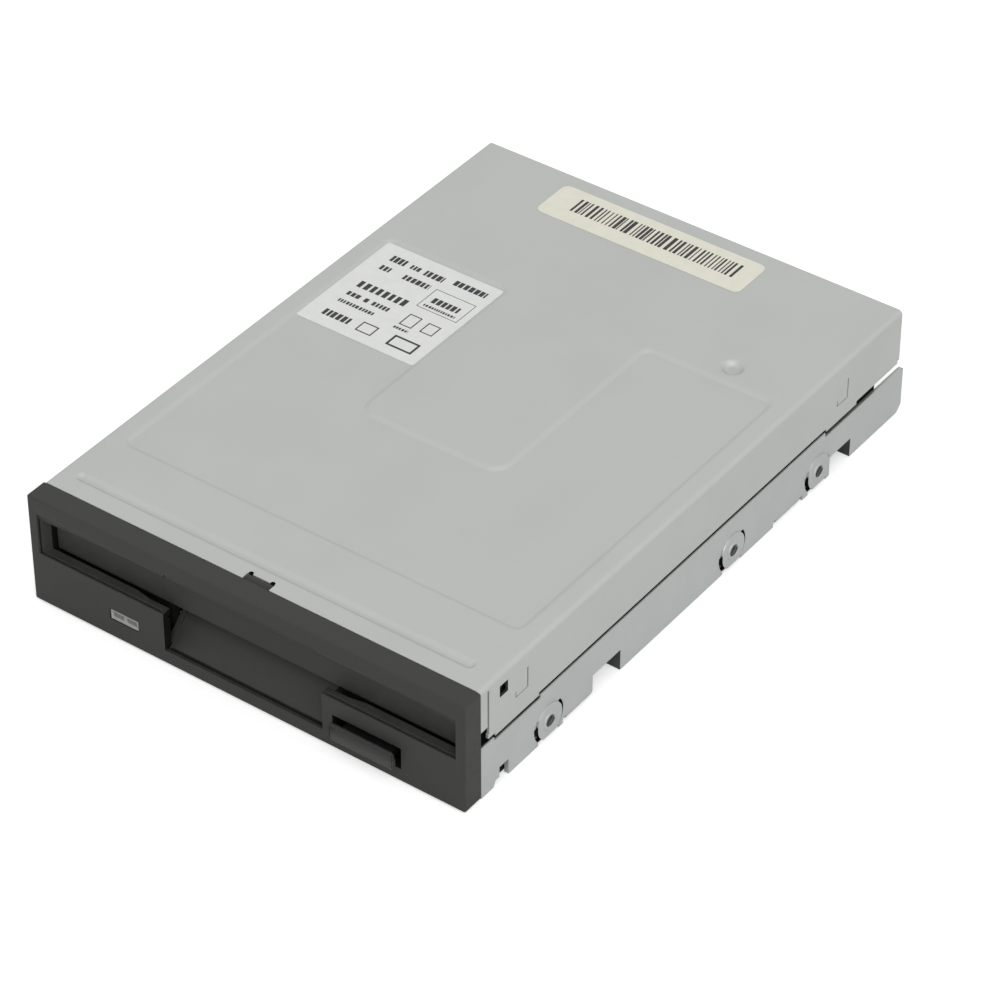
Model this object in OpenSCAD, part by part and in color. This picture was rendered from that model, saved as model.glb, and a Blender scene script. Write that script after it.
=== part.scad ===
// Floppy disk drive for 3.5 inch discs, with its loading mechanism, spindle, heads and board.
// X is the width, Y the depth (the bezel faces -Y), Z is up; sizes in millimetres.

/* [Overall] */
// Width over the side mounting bosses
drive_w = 101.6; // [101.4:0.1:104]
// Height from the chassis's lower edge to the label on the cover
drive_h = 25.4; // [25.2:0.1:28]
// Depth from the bezel's face to the rear edge of the chassis
body_depth = 146.6; // [146:0.1:154]

/* [Disc path] */
// Width of the disc that a drive four inches wide takes
disc_w = 90; // [89:0.1:90.4]
// Clearance beside the disc in its holder
disc_clear = 0.3; // [0.2:0.05:0.4]
// Clear height of the channel that the disc slides in
channel_h = 4.2; // [4.1:0.1:4.8]
// Depth of the spindle's axis behind the bezel's face
spindle_depth = 54; // [53:0.5:55]
// Depth of the holder's front edge behind the bezel's face
holder_front = 13.4; // [13.2:0.1:14]
// Reach of the holder behind the spindle's axis
holder_len = 44; // [41.4:0.2:44.4]
// Forward run of the eject slider while a disc loads
eject_travel = 4.5; // [4:0.1:5]
// Travel left for a push on the button at rest
press_travel = 0.8; // [0.5:0.1:1]
// Drop of the holder while a disc loads
load_drop = 2.8; // [2.4:0.1:3]
// Radius of the holder's cam pins
cam_pin_r = 1; // [0.8:0.1:1.2]

/* [Bezel] */
// Step from the drive's outline in to the bezel's edge
bezel_gap = 0.2; // [0.1:0.05:0.4]
// Depth of the bezel's rim
bezel_t = 4.8; // [4.4:0.1:5.2]
// Rounding of the bezel's edges
bezel_round = 1; // [0.5:0.1:1.5]
// Thickness of the bezel's front wall
bezel_face = 1.8; // [1.4:0.1:2.2]
// Thickness of the bezel's rim
bezel_rim = 1.6; // [1.3:0.1:1.8]
// Width of the disc mouth at the bezel's face
mouth_w = 97.2; // [95:0.2:97.6]
// Mouth below the disc's middle plane
mouth_below = 4.1; // [3.6:0.1:4.4]
// Mouth above the disc's middle plane
mouth_above = 5.4; // [4.8:0.1:6]
// Depth of the mouth's shelf
mouth_depth = 2.5; // [2:0.1:2.8]
// Width of the finger scoop
finger_w = 37; // [32:0.5:38]
// Height of the lip in front of the scoop
finger_lip_z = 3.3; // [2.8:0.1:4]
// Depth that the scoop's floor reaches
scoop_reach = 9.6; // [8.5:0.1:9.8]

/* [Door] */
// Thickness of the slot door
door_t = 1.2; // [1:0.1:1.4]
// Depth of the door's face behind the bezel's face
door_set = 3.5; // [3.3:0.1:3.8]
// Radius of the door's hinge barrel
door_barrel_r = 0.9; // [0.8:0.05:1]
// Radius of the door's hinge pins
door_pin_r = 0.6; // [0.5:0.05:0.65]

/* [Button and lamp] */
// Height of the button and lamp above the chassis's lower edge
control_z = 5.7; // [5.4:0.1:6.2]
// Sideways place of the eject button
button_x = 28.6; // [28:0.2:29.6]
// Width of the button
button_w = 15; // [13:0.2:15.6]
// Height of the button
button_h = 4.4; // [3.8:0.1:4.8]
// How far the button stands proud at rest
button_proud = 1.8; // [1.2:0.1:2.4]
// Clearance around the button
button_clear = 0.25; // [0.2:0.05:0.4]
// Sideways place of the lamp window, on the other side
lamp_x = 28.3; // [27.5:0.2:28.5]
// Width of the lamp window
lamp_w = 7; // [6:0.2:8]
// Height of the lamp window
lamp_h = 2.6; // [2.2:0.1:3]

/* [Cover] */
// Thickness of the cover's sheet
cover_sheet = 0.8; // [0.6:0.05:0.9]
// Step from the drive's outline in to the cover's side
cover_inset = 0.4; // [0.3:0.05:0.6]
// Height of the cover's lower edge
cover_edge_z = 12.4; // [12:0.1:13]
// Outer radius of the cover's folds
cover_fold_r = 1; // [0.9:0.1:1.4]
// Distance of the cover's rear edge from the chassis's
cover_setback = 1.7; // [1.2:0.1:2.5]
// Depth of the pressed panel in the cover
panel_depth = 0.5; // [0.3:0.05:0.7]
// Half width of the pressed panel
panel_half = 46; // [42:0.5:46.5]
// Front edge of the pressed panel
panel_front = 22.6; // [20:0.2:26]
// Rear edge of the pressed panel
panel_rear = 105.3; // [100:0.2:108]
// Half width of the raised tongue in the panel
tongue_half = 16.5; // [12:0.5:20]
// Front edge of the raised tongue
tongue_front = 57; // [45:0.5:65]
// Thickness of the paper labels
label_t = 0.1; // [0.08:0.01:0.15]

/* [Chassis] */
// Thickness of the chassis's sheet
chassis_sheet = 1; // [0.8:0.05:1.1]
// How far the screw bosses stand proud of the walls
boss_proud = 0.3; // [0.2:0.05:0.5]
// Height of the floor's underside
floor_z = 5; // [4.8:0.1:5.4]
// Gap between the cover's edge and the chassis's edge
seam_gap = 0.5; // [0.3:0.1:0.8]
// Reach of the floor behind the heads' rest place
floor_rear = 24.5; // [23.5:0.5:26.5]

/* [Mounting holes] */
// Depth of the first side hole behind the bezel's face
side_hole_front = 25.7; // [25:0.1:27]
// Pitch from the first side hole to the second
side_hole_pitch = 60; // [59:0.5:61]
// Pitch from the second side hole to the third
side_hole_extra = 30; // [29:0.5:31]
// Height of the side holes
side_hole_z = 4; // [3.8:0.1:4.4]
// Core diameter of the screw holes
mount_hole_d = 2.5; // [2.4:0.05:2.9]
// Diameter of the side bosses
boss_d = 7.6; // [6.6:0.1:7.8]
// Depth of the first bottom hole behind the bezel's face
bottom_hole_front = 35.3; // [35:0.1:36]
// Pitch of the bottom holes along the depth
bottom_hole_pitch = 70; // [69:0.5:71]
// Pitch of the bottom holes across the width
bottom_hole_span = 92; // [91:0.5:93]

/* [Eject slider] */
// Thickness of the slider's sheet
slider_sheet = 0.8; // [0.6:0.05:0.9]
// Height of the slider above the floor
slider_lift = 2.6; // [2.4:0.1:2.8]
// Inner edge of the slider's legs
slider_leg_in = 34; // [33.5:0.2:37]
// Wire radius of the pull springs
spring_wire_r = 0.17; // [0.14:0.01:0.2]
// Coil radius of the pull springs
spring_coil_r = 0.9; // [0.8:0.05:1]

/* [Disc holder] */
// Thickness of the holder's sheet
holder_sheet = 0.6; // [0.5:0.05:0.7]
// Gap under the holder when it is down
holder_clear = 1.2; // [1:0.1:1.4]
// Width of the rails that the disc rests on
rail_w = 6.4; // [5:0.2:7]
// Length of the shutter lever from pivot to pin
lever_len = 22; // [21:0.2:22.4]
// Radius of the lever's pivot
lever_pivot_r = 1.5; // [1.2:0.1:1.8]

/* [Spindle motor] */
// Diameter of the rotor
rotor_d = 42; // [39:0.5:43]
// Diameter of the spindle shaft
shaft_d = 4; // [3.5:0.1:4.4]
// Outer diameter of the spindle bearing
bearing_d = 8.8; // [8:0.1:9.4]
// Thickness of the motor board
motor_board_t = 0.8; // [0.6:0.1:1]
// Number of stator teeth
stator_teeth = 9; // [6, 9]

/* [Heads] */
// Radius of the outermost track
track0_r = 39.5; // [39:0.1:40]
// Travel of the head carriage
seek_travel = 14.8; // [14:0.1:15]
// Diameter of the lead screw
screw_d = 3; // [2.6:0.1:3.2]
// Advance of the lead screw in one turn
screw_lead = 3.75; // [3.5:0.05:4]
// Sideways place of the lead screw
screw_x = 19; // [18.8:0.1:19.6]
// Diameter of the guide rod
rod_d = 3; // [2.6:0.1:3.2]
// Sideways place of the guide rod
rod_x_place = 17; // [16.6:0.1:18]
// Diameter of the stepper motor
stepper_d = 15; // [13:0.2:15.4]
// Length of the stepper motor
stepper_len = 13; // [11:0.5:14]
// Lift of the upper head arm at rest, in degrees
arm_lift = 10; // [9:0.5:11]

/* [Board and connectors] */
// Thickness of the main board
board_t = 1.6; // [1.2:0.1:1.7]
// Height of the main board's underside
board_z = 2; // [1.9:0.05:2.1]
// Half width of the main board
board_half = 41; // [40.6:0.1:41.4]
// Pitch of the data pins
data_pitch = 2.54; // [2.5:0.01:2.54]
// Data pins in each row
data_columns = 17; // [12:1:17]
// Pitch of the power pins
power_pitch = 2.5; // [2.2:0.05:2.54]

/* [Fits] */
// Radial clearance of turning shafts
run_clear = 0.05; // [0.03:0.01:0.08]
// Clearance of sliding pins in their slots
slide_clear = 0.12; // [0.08:0.02:0.2]
// Clearance between moving sheets
sheet_clear = 0.3; // [0.25:0.05:0.4]

/* [Hidden] */
$fn = 48;
half_w = drive_w / 2;
// Widths are drawn for a drive four inches wide and stretched to the width there is
wide = drive_w / 101.6;
front_y = -(body_depth - button_proud) / 2;
wall_out = half_w - boss_proud;
wall_in = wall_out - chassis_sheet;
cover_half = half_w - cover_inset;
cover_in = cover_half - cover_sheet;
cover_top = drive_h - label_t;
cover_under = cover_top - cover_sheet;
cover_front = bezel_t + 0.1;
cover_rear = body_depth - cover_setback;
wall_top = cover_edge_z - seam_gap;
wall_front = bezel_t + 0.2;
floor_top = floor_z + chassis_sheet;
mount_r = mount_hole_d / 2;
boss_r = boss_d / 2;
hole_depths = [side_hole_front, side_hole_front + side_hole_pitch,
               side_hole_front + side_hole_pitch + side_hole_extra];
bottom_depths = [bottom_hole_front, bottom_hole_front + bottom_hole_pitch];
slider_z = floor_top + slider_lift;
slider_top = slider_z + slider_sheet;
holder_z = slider_top + load_drop + holder_clear;
channel_z = holder_z + holder_sheet;
slot_mid = channel_z + channel_h / 2;
holder_roof = channel_z + channel_h;
holder_top = holder_roof + holder_sheet;
holder_rear = spindle_depth + holder_len;
holder_in = disc_w * wide / 2 + disc_clear;
holder_half = holder_in + holder_sheet;
slider_in = holder_half + sheet_clear;
slider_half = slider_in + slider_sheet;
guide_in = slider_half + sheet_clear;
guide_half = guide_in + slider_sheet;
cam_depths = [spindle_depth - 18, spindle_depth + 22];
cam_slope = load_drop / eject_travel;
bezel_half = half_w - bezel_gap;
bezel_z0 = bezel_gap;
bezel_z1 = drive_h - bezel_gap;
mouth_half = mouth_w * wide / 2;
mouth_z0 = slot_mid - mouth_below;
mouth_z1 = slot_mid + mouth_above;
throat_half = mouth_half - 1.3;
door_half = throat_half - 0.4;
door_axis_y = door_set + door_t + 0.3;
door_axis_z = slot_mid + 3.4;
door_z0 = mouth_z0 - 0.1;
throat_z1 = door_axis_z + 1.6;
finger_half = finger_w * wide / 2;
scoop_z = finger_lip_z - 0.8 + (scoop_reach - 0.9) * 0.95;
button_half = button_w * wide / 2;
button_at = button_x * wide;
button_pocket_half = button_half + button_clear;
button_pocket_z = [control_z - button_h / 2 - button_clear, control_z + button_h / 2 + button_clear];
lamp_half = lamp_w * wide / 2;
lamp_at = -lamp_x * wide;
lamp_z = [control_z - lamp_h / 2, control_z + lamp_h / 2];
panel_x = panel_half * wide;
groove_ends = [-45.5 * wide, 44.2 * wide];
bottom_hole_x = bottom_hole_span * wide / 2;
board_edge = board_half * wide;
slider_rear = spindle_depth + 38;
tongue_z = [control_z - slider_sheet / 2, control_z + slider_sheet / 2];
spring_x = slider_leg_in - 2.5;
spring_post_y = spindle_depth - 13;
spring_tab_y = spindle_depth + 12;
spring_z = slider_z - 1.1;
lever_x = 9.9 - holder_half;
lever_y = spindle_depth + 36;
lever_z = holder_top + sheet_clear;
lever_top = lever_z + 0.8;
lever_rest = -40;
lever_swing = 48;
rotor_r = rotor_d / 2;
shaft_r = shaft_d / 2;
bearing_r = bearing_d / 2;
motor_board_top = floor_top + motor_board_t;
yoke_top = motor_board_top + 3.3;
yoke_under = yoke_top - 0.8;
hub_top = yoke_top + 0.7;
head_y = spindle_depth + track0_r;
screw_r = screw_d / 2;
screw_z = floor_top + 3.4;
rod_r = rod_d / 2;
rod_z_place = floor_top + 2.8;
stepper_r = stepper_d / 2;
screw_front = head_y - seek_travel + 0.8;
rod_front = head_y - seek_travel - 2.2;
// The layout behind the heads is drawn for 53.1 mm and stretched to the room there is
rear_scale = (body_depth - head_y) / 53.1;
floor_end = behind(floor_rear);
rod_rear = behind(floor_rear - 1);
clamp_run = 3 * rear_scale;
needle_y = behind(15.5);
bracket_y = behind(25.5);
stepper_run = stepper_len * rear_scale;
arm_y = behind(30);
carriage_rear = behind(33);
arm_z = floor_top + 9.5;
carriage_z = floor_top + 2;
carriage_top = floor_top + 4.8;
board_top = board_z + board_t;
board_front = spindle_depth + 17;
board_rear = body_depth - 6.4 * rear_scale;
plug_floor = board_rear - 0.8 * rear_scale;
data_pin_front = board_rear - 6.2 * rear_scale;
power_pin_front = board_rear - 4 * rear_scale;
cable_clear = 0.6;
data_x = 17 * wide;
data_half = data_pitch * (data_columns - 1) / 2 + 4;
power_x = -31 * wide;
power_half = power_pitch * 1.5 + 2.6;
data_mid_z = board_top + 4.4;
power_mid_z = board_top + 3.4;
switch_y = 9.8;
switch_top = floor_top + 3.2;
switch_places = [41.4 * wide, -41.4 * wide, -36.7 * wide];
tip_y = lever_y + lever_len * sin(lever_rest);
tip_x = lever_x + lever_len * cos(lever_rest);

// Placing and shaping helpers

// Depth of a place behind the heads' rest place
function behind(run) = head_y + run * rear_scale;

module place() {
  translate([0, front_y, 0]) children();
}

module block(x, y, z) {
  translate([x[0], y[0], z[0]]) cube([x[1] - x[0], y[1] - y[0], z[1] - z[0]]);
}

module both_sides() {
  children();
  mirror([1, 0, 0]) children();
}

module bar_x(x0, x1, y, z, r) {
  translate([x0, y, z]) rotate([0, 90, 0]) cylinder(r = r, h = x1 - x0);
}

module bar_y(y0, y1, x, z, r) {
  translate([x, y0, z]) rotate([-90, 0, 0]) cylinder(r = r, h = y1 - y0);
}

module bar_z(z0, z1, x, y, r) {
  translate([x, y, z0]) cylinder(r = r, h = z1 - z0);
}

// Depth and height profile, extruded across the width
module across(x0, x1) {
  translate([x0, 0, 0]) rotate([90, 0, 90]) linear_extrude(height = x1 - x0) children();
}

// Width and height profile, extruded along the depth
module along(y0, y1) {
  translate([0, y1, 0]) rotate([90, 0, 0]) linear_extrude(height = y1 - y0) children();
}

module rise(z0, z1) {
  translate([0, 0, z0]) linear_extrude(height = z1 - z0) children();
}

module area(x, y) {
  translate([x[0], y[0]]) square([x[1] - x[0], y[1] - y[0]]);
}

module round_area(x, y, r) {
  area([x[0] + r, x[1] - r], y);
  area(x, [y[0] + r, y[1] - r]);
  for (cx = [x[0] + r, x[1] - r], cy = [y[0] + r, y[1] - r]) {
    translate([cx, cy]) circle(r = r);
  }
}

module slot_area(a, b, r) {
  run = norm(b - a);
  translate(a) rotate(atan2(b[1] - a[1], b[0] - a[0])) translate([0, -r]) square([run, 2 * r]);
  translate(a) circle(r = r);
  translate(b) circle(r = r);
}

module sector(r0, r1, from, sweep, h) {
  rotate([0, 0, from]) rotate_extrude(angle = sweep) translate([r0, 0]) square([r1 - r0, h]);
}

// Slab with rounded front edges; its back stays square
module soft_slab(x, y, z, r) {
  along(y[0] + r, y[1]) round_area(x, z, r);
  block([x[0] + r, x[1] - r], [y[0], y[0] + r], [z[0] + r, z[1] - r]);
  for (cz = [z[0] + r, z[1] - r]) {
    bar_x(x[0] + r, x[1] - r, y[0] + r, cz, r);
  }
  for (cx = [x[0] + r, x[1] - r]) {
    bar_z(z[0] + r, z[1] - r, cx, y[0] + r, r);
    for (cz = [z[0] + r, z[1] - r]) {
      translate([cx, y[0] + r, cz]) sphere(r = r);
    }
  }
}

// Round wire through a list of points
module wire(points, r, sides) {
  count = len(points);
  tangents = [for (i = [0:count - 1]) let (a = points[max(i - 1, 0)], b = points[min(i + 1, count - 1)])
              (b - a) / norm(b - a)];
  frames = [for (t = tangents) let (ref = abs(t[0]) < 0.9 ? [1, 0, 0] : [0, 0, 1],
            u = cross(t, ref) / norm(cross(t, ref))) [u, cross(t, u)]];
  rings = [for (i = [0:count - 1], k = [0:sides - 1]) points[i]
           + r * (cos(360 * k / sides) * frames[i][0] + sin(360 * k / sides) * frames[i][1])];
  walls = [for (i = [0:count - 2], k = [0:sides - 1], half = [0, 1])
           let (a = i * sides + k, b = i * sides + (k + 1) % sides)
           half == 0 ? [a, b, a + sides] : [b, b + sides, a + sides]];
  ends = [[for (k = [sides - 1:-1:0]) k], [for (k = [0:sides - 1]) (count - 1) * sides + k]];
  polyhedron(points = rings, faces = [for (f = concat(walls, ends)) [f[2], f[1], f[0], if (len(f) > 3)
             each [for (k = [len(f) - 1:-1:3]) f[k]]]]);
}

// Points of a coil along +X from the origin
function coil_points(r, turns, run, per_turn) =
  [for (i = [0:turns * per_turn]) let (a = 360 * i / per_turn)
   [run * i / (turns * per_turn), r * cos(a), r * sin(a)]];

module pull_spring(run, turns, r, wire_r) {
  body = coil_points(r, turns, run - 2.4, 8);
  shifted = [for (p = body) p + [1.2, 0, 0]];
  wire(concat([[0, 0, 0], [0.7, r * 0.5, 0]], shifted, [[run - 0.7, r * 0.5, 0], [run, 0, 0]]), wire_r, 6);
}

// Case: chassis, cover, bezel and what is fixed in the bezel

module chassis_wall() {
  difference() {
    union() {
      block([wall_in, wall_out], [wall_front, body_depth], [0, wall_top]);
      for (y = hole_depths) {
        bar_x(wall_in - 0.8, half_w, y, side_hole_z, 2.1);
        bar_x(wall_in + 0.1, half_w, y, side_hole_z, boss_r);
      }
    }
    for (y = hole_depths) {
      bar_x(wall_in - 2, half_w + 1, y, side_hole_z, mount_r);
      block([wall_in - 2, half_w + 1], [y - 3.3, y + 3.1], [-1, 0.8]);
      translate([wall_in - 1, y, side_hole_z]) rotate([90, 0, 90])
        sector(boss_r + 0.02, boss_r + 0.4, 150, 68, chassis_sheet + 3);
      translate([wall_in - 1, y, side_hole_z]) rotate([90, 0, 90])
        sector(boss_r + 0.02, boss_r + 0.4, -55, 78, chassis_sheet + 3);
    }
    across(wall_in - 1, wall_out + 1)
      polygon([[8.2, -1], [9.3, 1.3], [10.5, 1.3], [10.5, 3.6], [13.3, 3.6], [13.3, -1]]);
    block([wall_in - 1, wall_out + 1], [side_hole_front + 13.8, side_hole_front + 22.7], [-1, floor_z - 0.1]);
    block([wall_in - 1, wall_out + 1], [hole_depths[2] + 4.4, hole_depths[2] + 11.9], [-1, floor_z - 0.5]);
    across(wall_in - 1, wall_out + 1)
      polygon([[body_depth - 1.5, -1], [body_depth - 1.5, 0], [body_depth, 1.4], [body_depth + 1, -1]]);
    block([wall_in - 1, wall_out + 1], [9, 23.1], [wall_top - 0.8, wall_top + 1]);
    block([wall_in - 1, wall_out + 1], [117.9, body_depth + 1], [wall_top - 1.1, wall_top + 1]);
    block([wall_in - 1, wall_out + 1], [body_depth - 0.7, body_depth + 1], [wall_top - 1.7, wall_top + 1]);
  }
}

module chassis_floor() {
  rise(floor_z, floor_top) difference() {
    area([-wall_in - 0.1, wall_in + 0.1], [6.6, floor_end]);
    area([-34.3 * wide, 38.3 * wide], [6, 17.2]);
    for (y = hole_depths, s = [-1, 1]) {
      translate([s * (wall_in - 2.4), y]) area([-2.6, 2.6], [-4.6, 4.6]);
    }
    translate([0, spindle_depth]) circle(r = bearing_r);
    round_area([-9, 9], [spindle_depth + 24, spindle_depth + 40], 2);
    for (s = [-1, 1]) {
      round_area([s * 38 - 4, s * 38 + 4], [spindle_depth - 9, spindle_depth + 4], 2);
    }
    for (p = board_screw_places()) {
      translate(p) circle(r = 1.2);
    }
  }
}

function board_screw_places() = [for (y = [board_front + 4, floor_end - 3], s = [1, -1])
                                 [s * (board_edge - 4), y]];

module chassis_fittings() {
  for (y = bottom_depths) {
    difference() {
      block([bottom_hole_x - 4.5, wall_in + 0.2], [y - 4, y + 4], [0, chassis_sheet]);
      bar_z(-1, chassis_sheet + 1, bottom_hole_x, y, mount_r);
    }
  }
  for (y = [side_hole_front + 22.7, hole_depths[2] + 11.9]) {
    block([wall_in - 6, wall_in + 0.2], [y, y + chassis_sheet], [0, y < floor_end ? floor_z + 0.2 : floor_z]);
  }
  for (y = cam_depths) {
    difference() {
      block([guide_in, guide_half], [y - 4, y + 4], [floor_top - 0.2, slot_mid + 3]);
      block([guide_in - 1, guide_half + 1], [y - cam_pin_r - slide_clear, y + cam_pin_r + slide_clear],
            [slot_mid - load_drop - cam_pin_r - 0.4, slot_mid + 4]);
    }
  }
  block([spring_x - 1.2, spring_x + 1.2], [spring_post_y - 1.2, spring_post_y - 0.4],
        [floor_top - 0.2, spring_z + 0.9]);
  for (y = [spindle_depth - 22, spindle_depth + 30]) {
    bar_z(floor_top - 0.2, slider_z - 0.1, slider_leg_in + 3.5, y, 2);
  }
}

module base_chassis() {
  color("silver") {
    both_sides() chassis_wall();
    both_sides() chassis_fittings();
    chassis_floor();
    for (p = board_screw_places()) {
      difference() {
        bar_z(board_top, floor_z + 0.2, p[0], p[1], 2.6);
        bar_z(board_top - 1, floor_z + 1, p[0], p[1], 1.2);
      }
    }
  }
}

module cover_profile() {
  difference() {
    union() {
      area([-cover_half, cover_half], [cover_edge_z, cover_top - cover_fold_r]);
      area([cover_fold_r - cover_half, cover_half - cover_fold_r], [cover_edge_z, cover_top]);
      for (s = [-1, 1]) {
        translate([s * (cover_half - cover_fold_r), cover_top - cover_fold_r]) circle(r = cover_fold_r);
      }
    }
    area([-cover_in, cover_in], [cover_edge_z - 1, cover_under]);
  }
}

module panel_area(grow) {
  difference() {
    round_area([-panel_x - grow, panel_x + grow], [panel_front - grow, panel_rear + grow], 2.6);
    round_area([-tongue_half + grow, tongue_half - grow], [tongue_front + grow, panel_rear + 9], 2.6);
  }
}

module cover_side_cuts() {
  block([cover_in - 1, cover_half + 1], [cover_front - 1, 7.3], [cover_edge_z - 1, cover_edge_z + 2.9]);
  across(cover_in - 1, cover_half + 1)
    polygon([[7.2, cover_edge_z - 1], [7.2, cover_edge_z + 1.6], [9.2, cover_edge_z - 1]]);
  block([cover_in - 1, cover_half + 1], [7.1, 7.6], [cover_edge_z + 1, cover_top - 1.3]);
  block([cover_in - 1, cover_half + 1], [10.75, 13.2], [cover_top - 5.3, cover_top - 2.7]);
  for (m = [[15.5, cover_edge_z + 3.8], [121.8, cover_edge_z + 3.1]]) {
    block([cover_in - 1, cover_half + 1], [m[0] + 3.6, m[0] + 3.9], [m[1], m[1] + 4.8]);
    block([cover_in - 1, cover_half + 1], [m[0], m[0] + 3.8], [m[1], m[1] + 0.3]);
    block([cover_in - 1, cover_half + 1], [m[0], m[0] + 0.3], [m[1], m[1] + 1.4]);
  }
  block([cover_in - 1, cover_half + 1], [cover_rear - 0.6, cover_rear + 1],
        [cover_edge_z - 1, cover_edge_z + 0.7]);
}

module top_cover() {
  color("lightgray") difference() {
    union() {
      along(cover_front, cover_rear) cover_profile();
      both_sides() {
        block([cover_in, cover_half], [9.4, 22.7], [cover_edge_z - 0.7, cover_edge_z + 0.2]);
        block([cover_in, cover_half], [118.3, 129.2], [cover_edge_z - 1, cover_edge_z + 0.2]);
      }
      rise(cover_under - panel_depth, cover_under + 0.1) panel_area(0.8);
      rise(cover_under - 0.5, cover_under + 0.1) slot_area([groove_ends[0], 10.1], [groove_ends[1], 10.1], 2);
      bar_z(cover_under - 0.7, cover_under + 0.1, 33.6, 109.9, 2.6);
      block([-44 * wide, 44 * wide], [cover_rear - cover_sheet, cover_rear],
            [cover_edge_z + 5, cover_under + 0.1]);
    }
    both_sides() cover_side_cuts();
    rise(cover_top - panel_depth, cover_top + 1) panel_area(0);
    rise(cover_top - 0.5, cover_top + 1) slot_area([groove_ends[0], 10.1], [groove_ends[1], 10.1], 1.2);
    bar_z(cover_top - 0.7, cover_top + 1, 33.6, 109.9, 1.9);
    block([-3.1, 3.1], [cover_front - 1, 6.7], [cover_under - 1, cover_top + 1]);
    for (s = [-1, 1]) {
      bar_z(cover_under - 1, cover_top + 1, s * 2.5, 6.8, 0.5);
    }
    block([-30, -10], [cover_rear - 2, cover_rear + 1], [cover_edge_z + 4, cover_edge_z + 8]);
  }
}

module mouth_cut() {
  intersection() {
    across(-mouth_half - 1, mouth_half + 1)
      polygon([[-1, mouth_z0], [0, mouth_z0], [mouth_depth, mouth_z0 + 0.3], [mouth_depth, slot_mid + 3.2],
               [0, mouth_z1], [-1, mouth_z1]]);
    rise(mouth_z0 - 1, mouth_z1 + 1)
      polygon([[-mouth_half, -1], [mouth_half, -1], [mouth_half, 0], [throat_half, mouth_depth],
               [-throat_half, mouth_depth], [-mouth_half, 0]]);
  }
}

module bezel_body() {
  difference() {
    soft_slab([-bezel_half, bezel_half], [0, bezel_t], [bezel_z0, bezel_z1], bezel_round);
    block([bezel_rim - bezel_half, bezel_half - bezel_rim], [bezel_face, bezel_t + 1],
          [bezel_z0 + bezel_rim, bezel_z1 - bezel_rim]);
  }
  block([bezel_rim - bezel_half - 0.2, bezel_half - bezel_rim + 0.2], [bezel_face - 0.2, bezel_t],
        [mouth_z0 - 1.2, mouth_z1 + 1.2]);
  both_sides() {
    block([throat_half - 0.5, bezel_half - bezel_rim], [bezel_face, door_axis_y + 1.8],
          [mouth_z0 - 0.5, throat_z1]);
    across(finger_half - 0.1, finger_half + 1.1)
      polygon([[bezel_face - 0.8, finger_lip_z - 1.2], [bezel_face, finger_lip_z - 1.8],
               [scoop_reach + 0.9, scoop_z - 0.9], [scoop_reach + 0.9, mouth_z0 - 0.6],
               [bezel_face - 0.8, mouth_z0 - 0.6]]);
    block([cover_in - 1.5, cover_in - sheet_clear], [bezel_t - 1, 13], [cover_top - 5.1, cover_top - 2.9]);
    rise(cover_top - 5.1, cover_top - 2.9)
      polygon([[cover_in - 0.6, 10.95], [cover_in + 0.5, 10.95], [cover_in - 0.6, 13]]);
    block([wall_in - 1.5, wall_in - sheet_clear], [bezel_t - 1, 13], [bezel_z0 + 1.1, 3.3]);
    rise(bezel_z0 + 1.1, 3.3)
      polygon([[wall_in - 0.6, 10.8], [wall_in + 0.6, 10.8], [wall_in - 0.6, 13]]);
  }
  across(-finger_half - 0.5, finger_half + 0.5)
    polygon([[0.9, finger_lip_z - 0.8], [scoop_reach, scoop_z], [scoop_reach + 0.9, scoop_z - 0.9],
             [1.8, finger_lip_z - 1.8], [0.9, finger_lip_z - 1.8]]);
  block([button_at - button_pocket_half - 1, button_at + button_pocket_half + 1], [bezel_face - 0.2, 6.2],
        [button_pocket_z[0] - 1, button_pocket_z[1] + 1]);
  block([lamp_at - lamp_half - 1, lamp_at + lamp_half + 1], [bezel_face - 0.2, 6.2],
        [lamp_z[0] - 1, lamp_z[1] + 1]);
  block([-2.9, 2.9], [bezel_t - 1, 6.5], [bezel_z1 - bezel_rim - 0.2, bezel_z1 - 0.05]);
}

module front_bezel() {
  color("dimgray") difference() {
    bezel_body();
    mouth_cut();
    block([-throat_half, throat_half], [mouth_depth - 0.01, bezel_t + 6], [mouth_z0 - 2, throat_z1]);
    across(-finger_half, finger_half)
      polygon([[-1, finger_lip_z], [0.8, finger_lip_z], [0.9, finger_lip_z - 0.8], [scoop_reach, scoop_z],
               [scoop_reach + 2, scoop_z], [scoop_reach + 2, mouth_z0 + 1], [-1, mouth_z0 + 1]]);
    block([0.7 - finger_half, finger_half - 0.7], [-1, 0.9], [mouth_z1 - 0.4, mouth_z1 + 0.6]);
    both_sides() rise(mouth_z0 - 2, mouth_z0 + 1)
      polygon([[finger_half - 0.1, mouth_depth + 0.1], [finger_half + 9, mouth_depth + 0.1],
               [finger_half - 0.1, 1.2]]);
    block([button_at - button_pocket_half, button_at + button_pocket_half], [-1, 7], button_pocket_z);
    block([lamp_at - lamp_half, lamp_at + lamp_half], [-1, 7], lamp_z);
    bar_x(-door_half - 1.5, door_half + 1.5, door_axis_y, door_axis_z, door_pin_r + run_clear);
  }
}

module slot_door() {
  color("dimgray") difference() {
    union() {
      block([-door_half, door_half], [door_set, door_set + door_t], [door_z0, door_axis_z]);
      bar_x(-door_half, door_half, door_axis_y, door_axis_z, door_barrel_r);
      bar_x(-door_half - 1.3, door_half + 1.3, door_axis_y, door_axis_z, door_pin_r);
    }
    difference() {
      block([4 - door_half, 8 - door_half], [door_axis_y - 1.2, door_axis_y + 2],
            [door_axis_z - 1.6, door_axis_z + 2]);
      bar_x(3 - door_half, 9 - door_half, door_axis_y, door_axis_z, door_pin_r);
    }
  }
}

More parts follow.
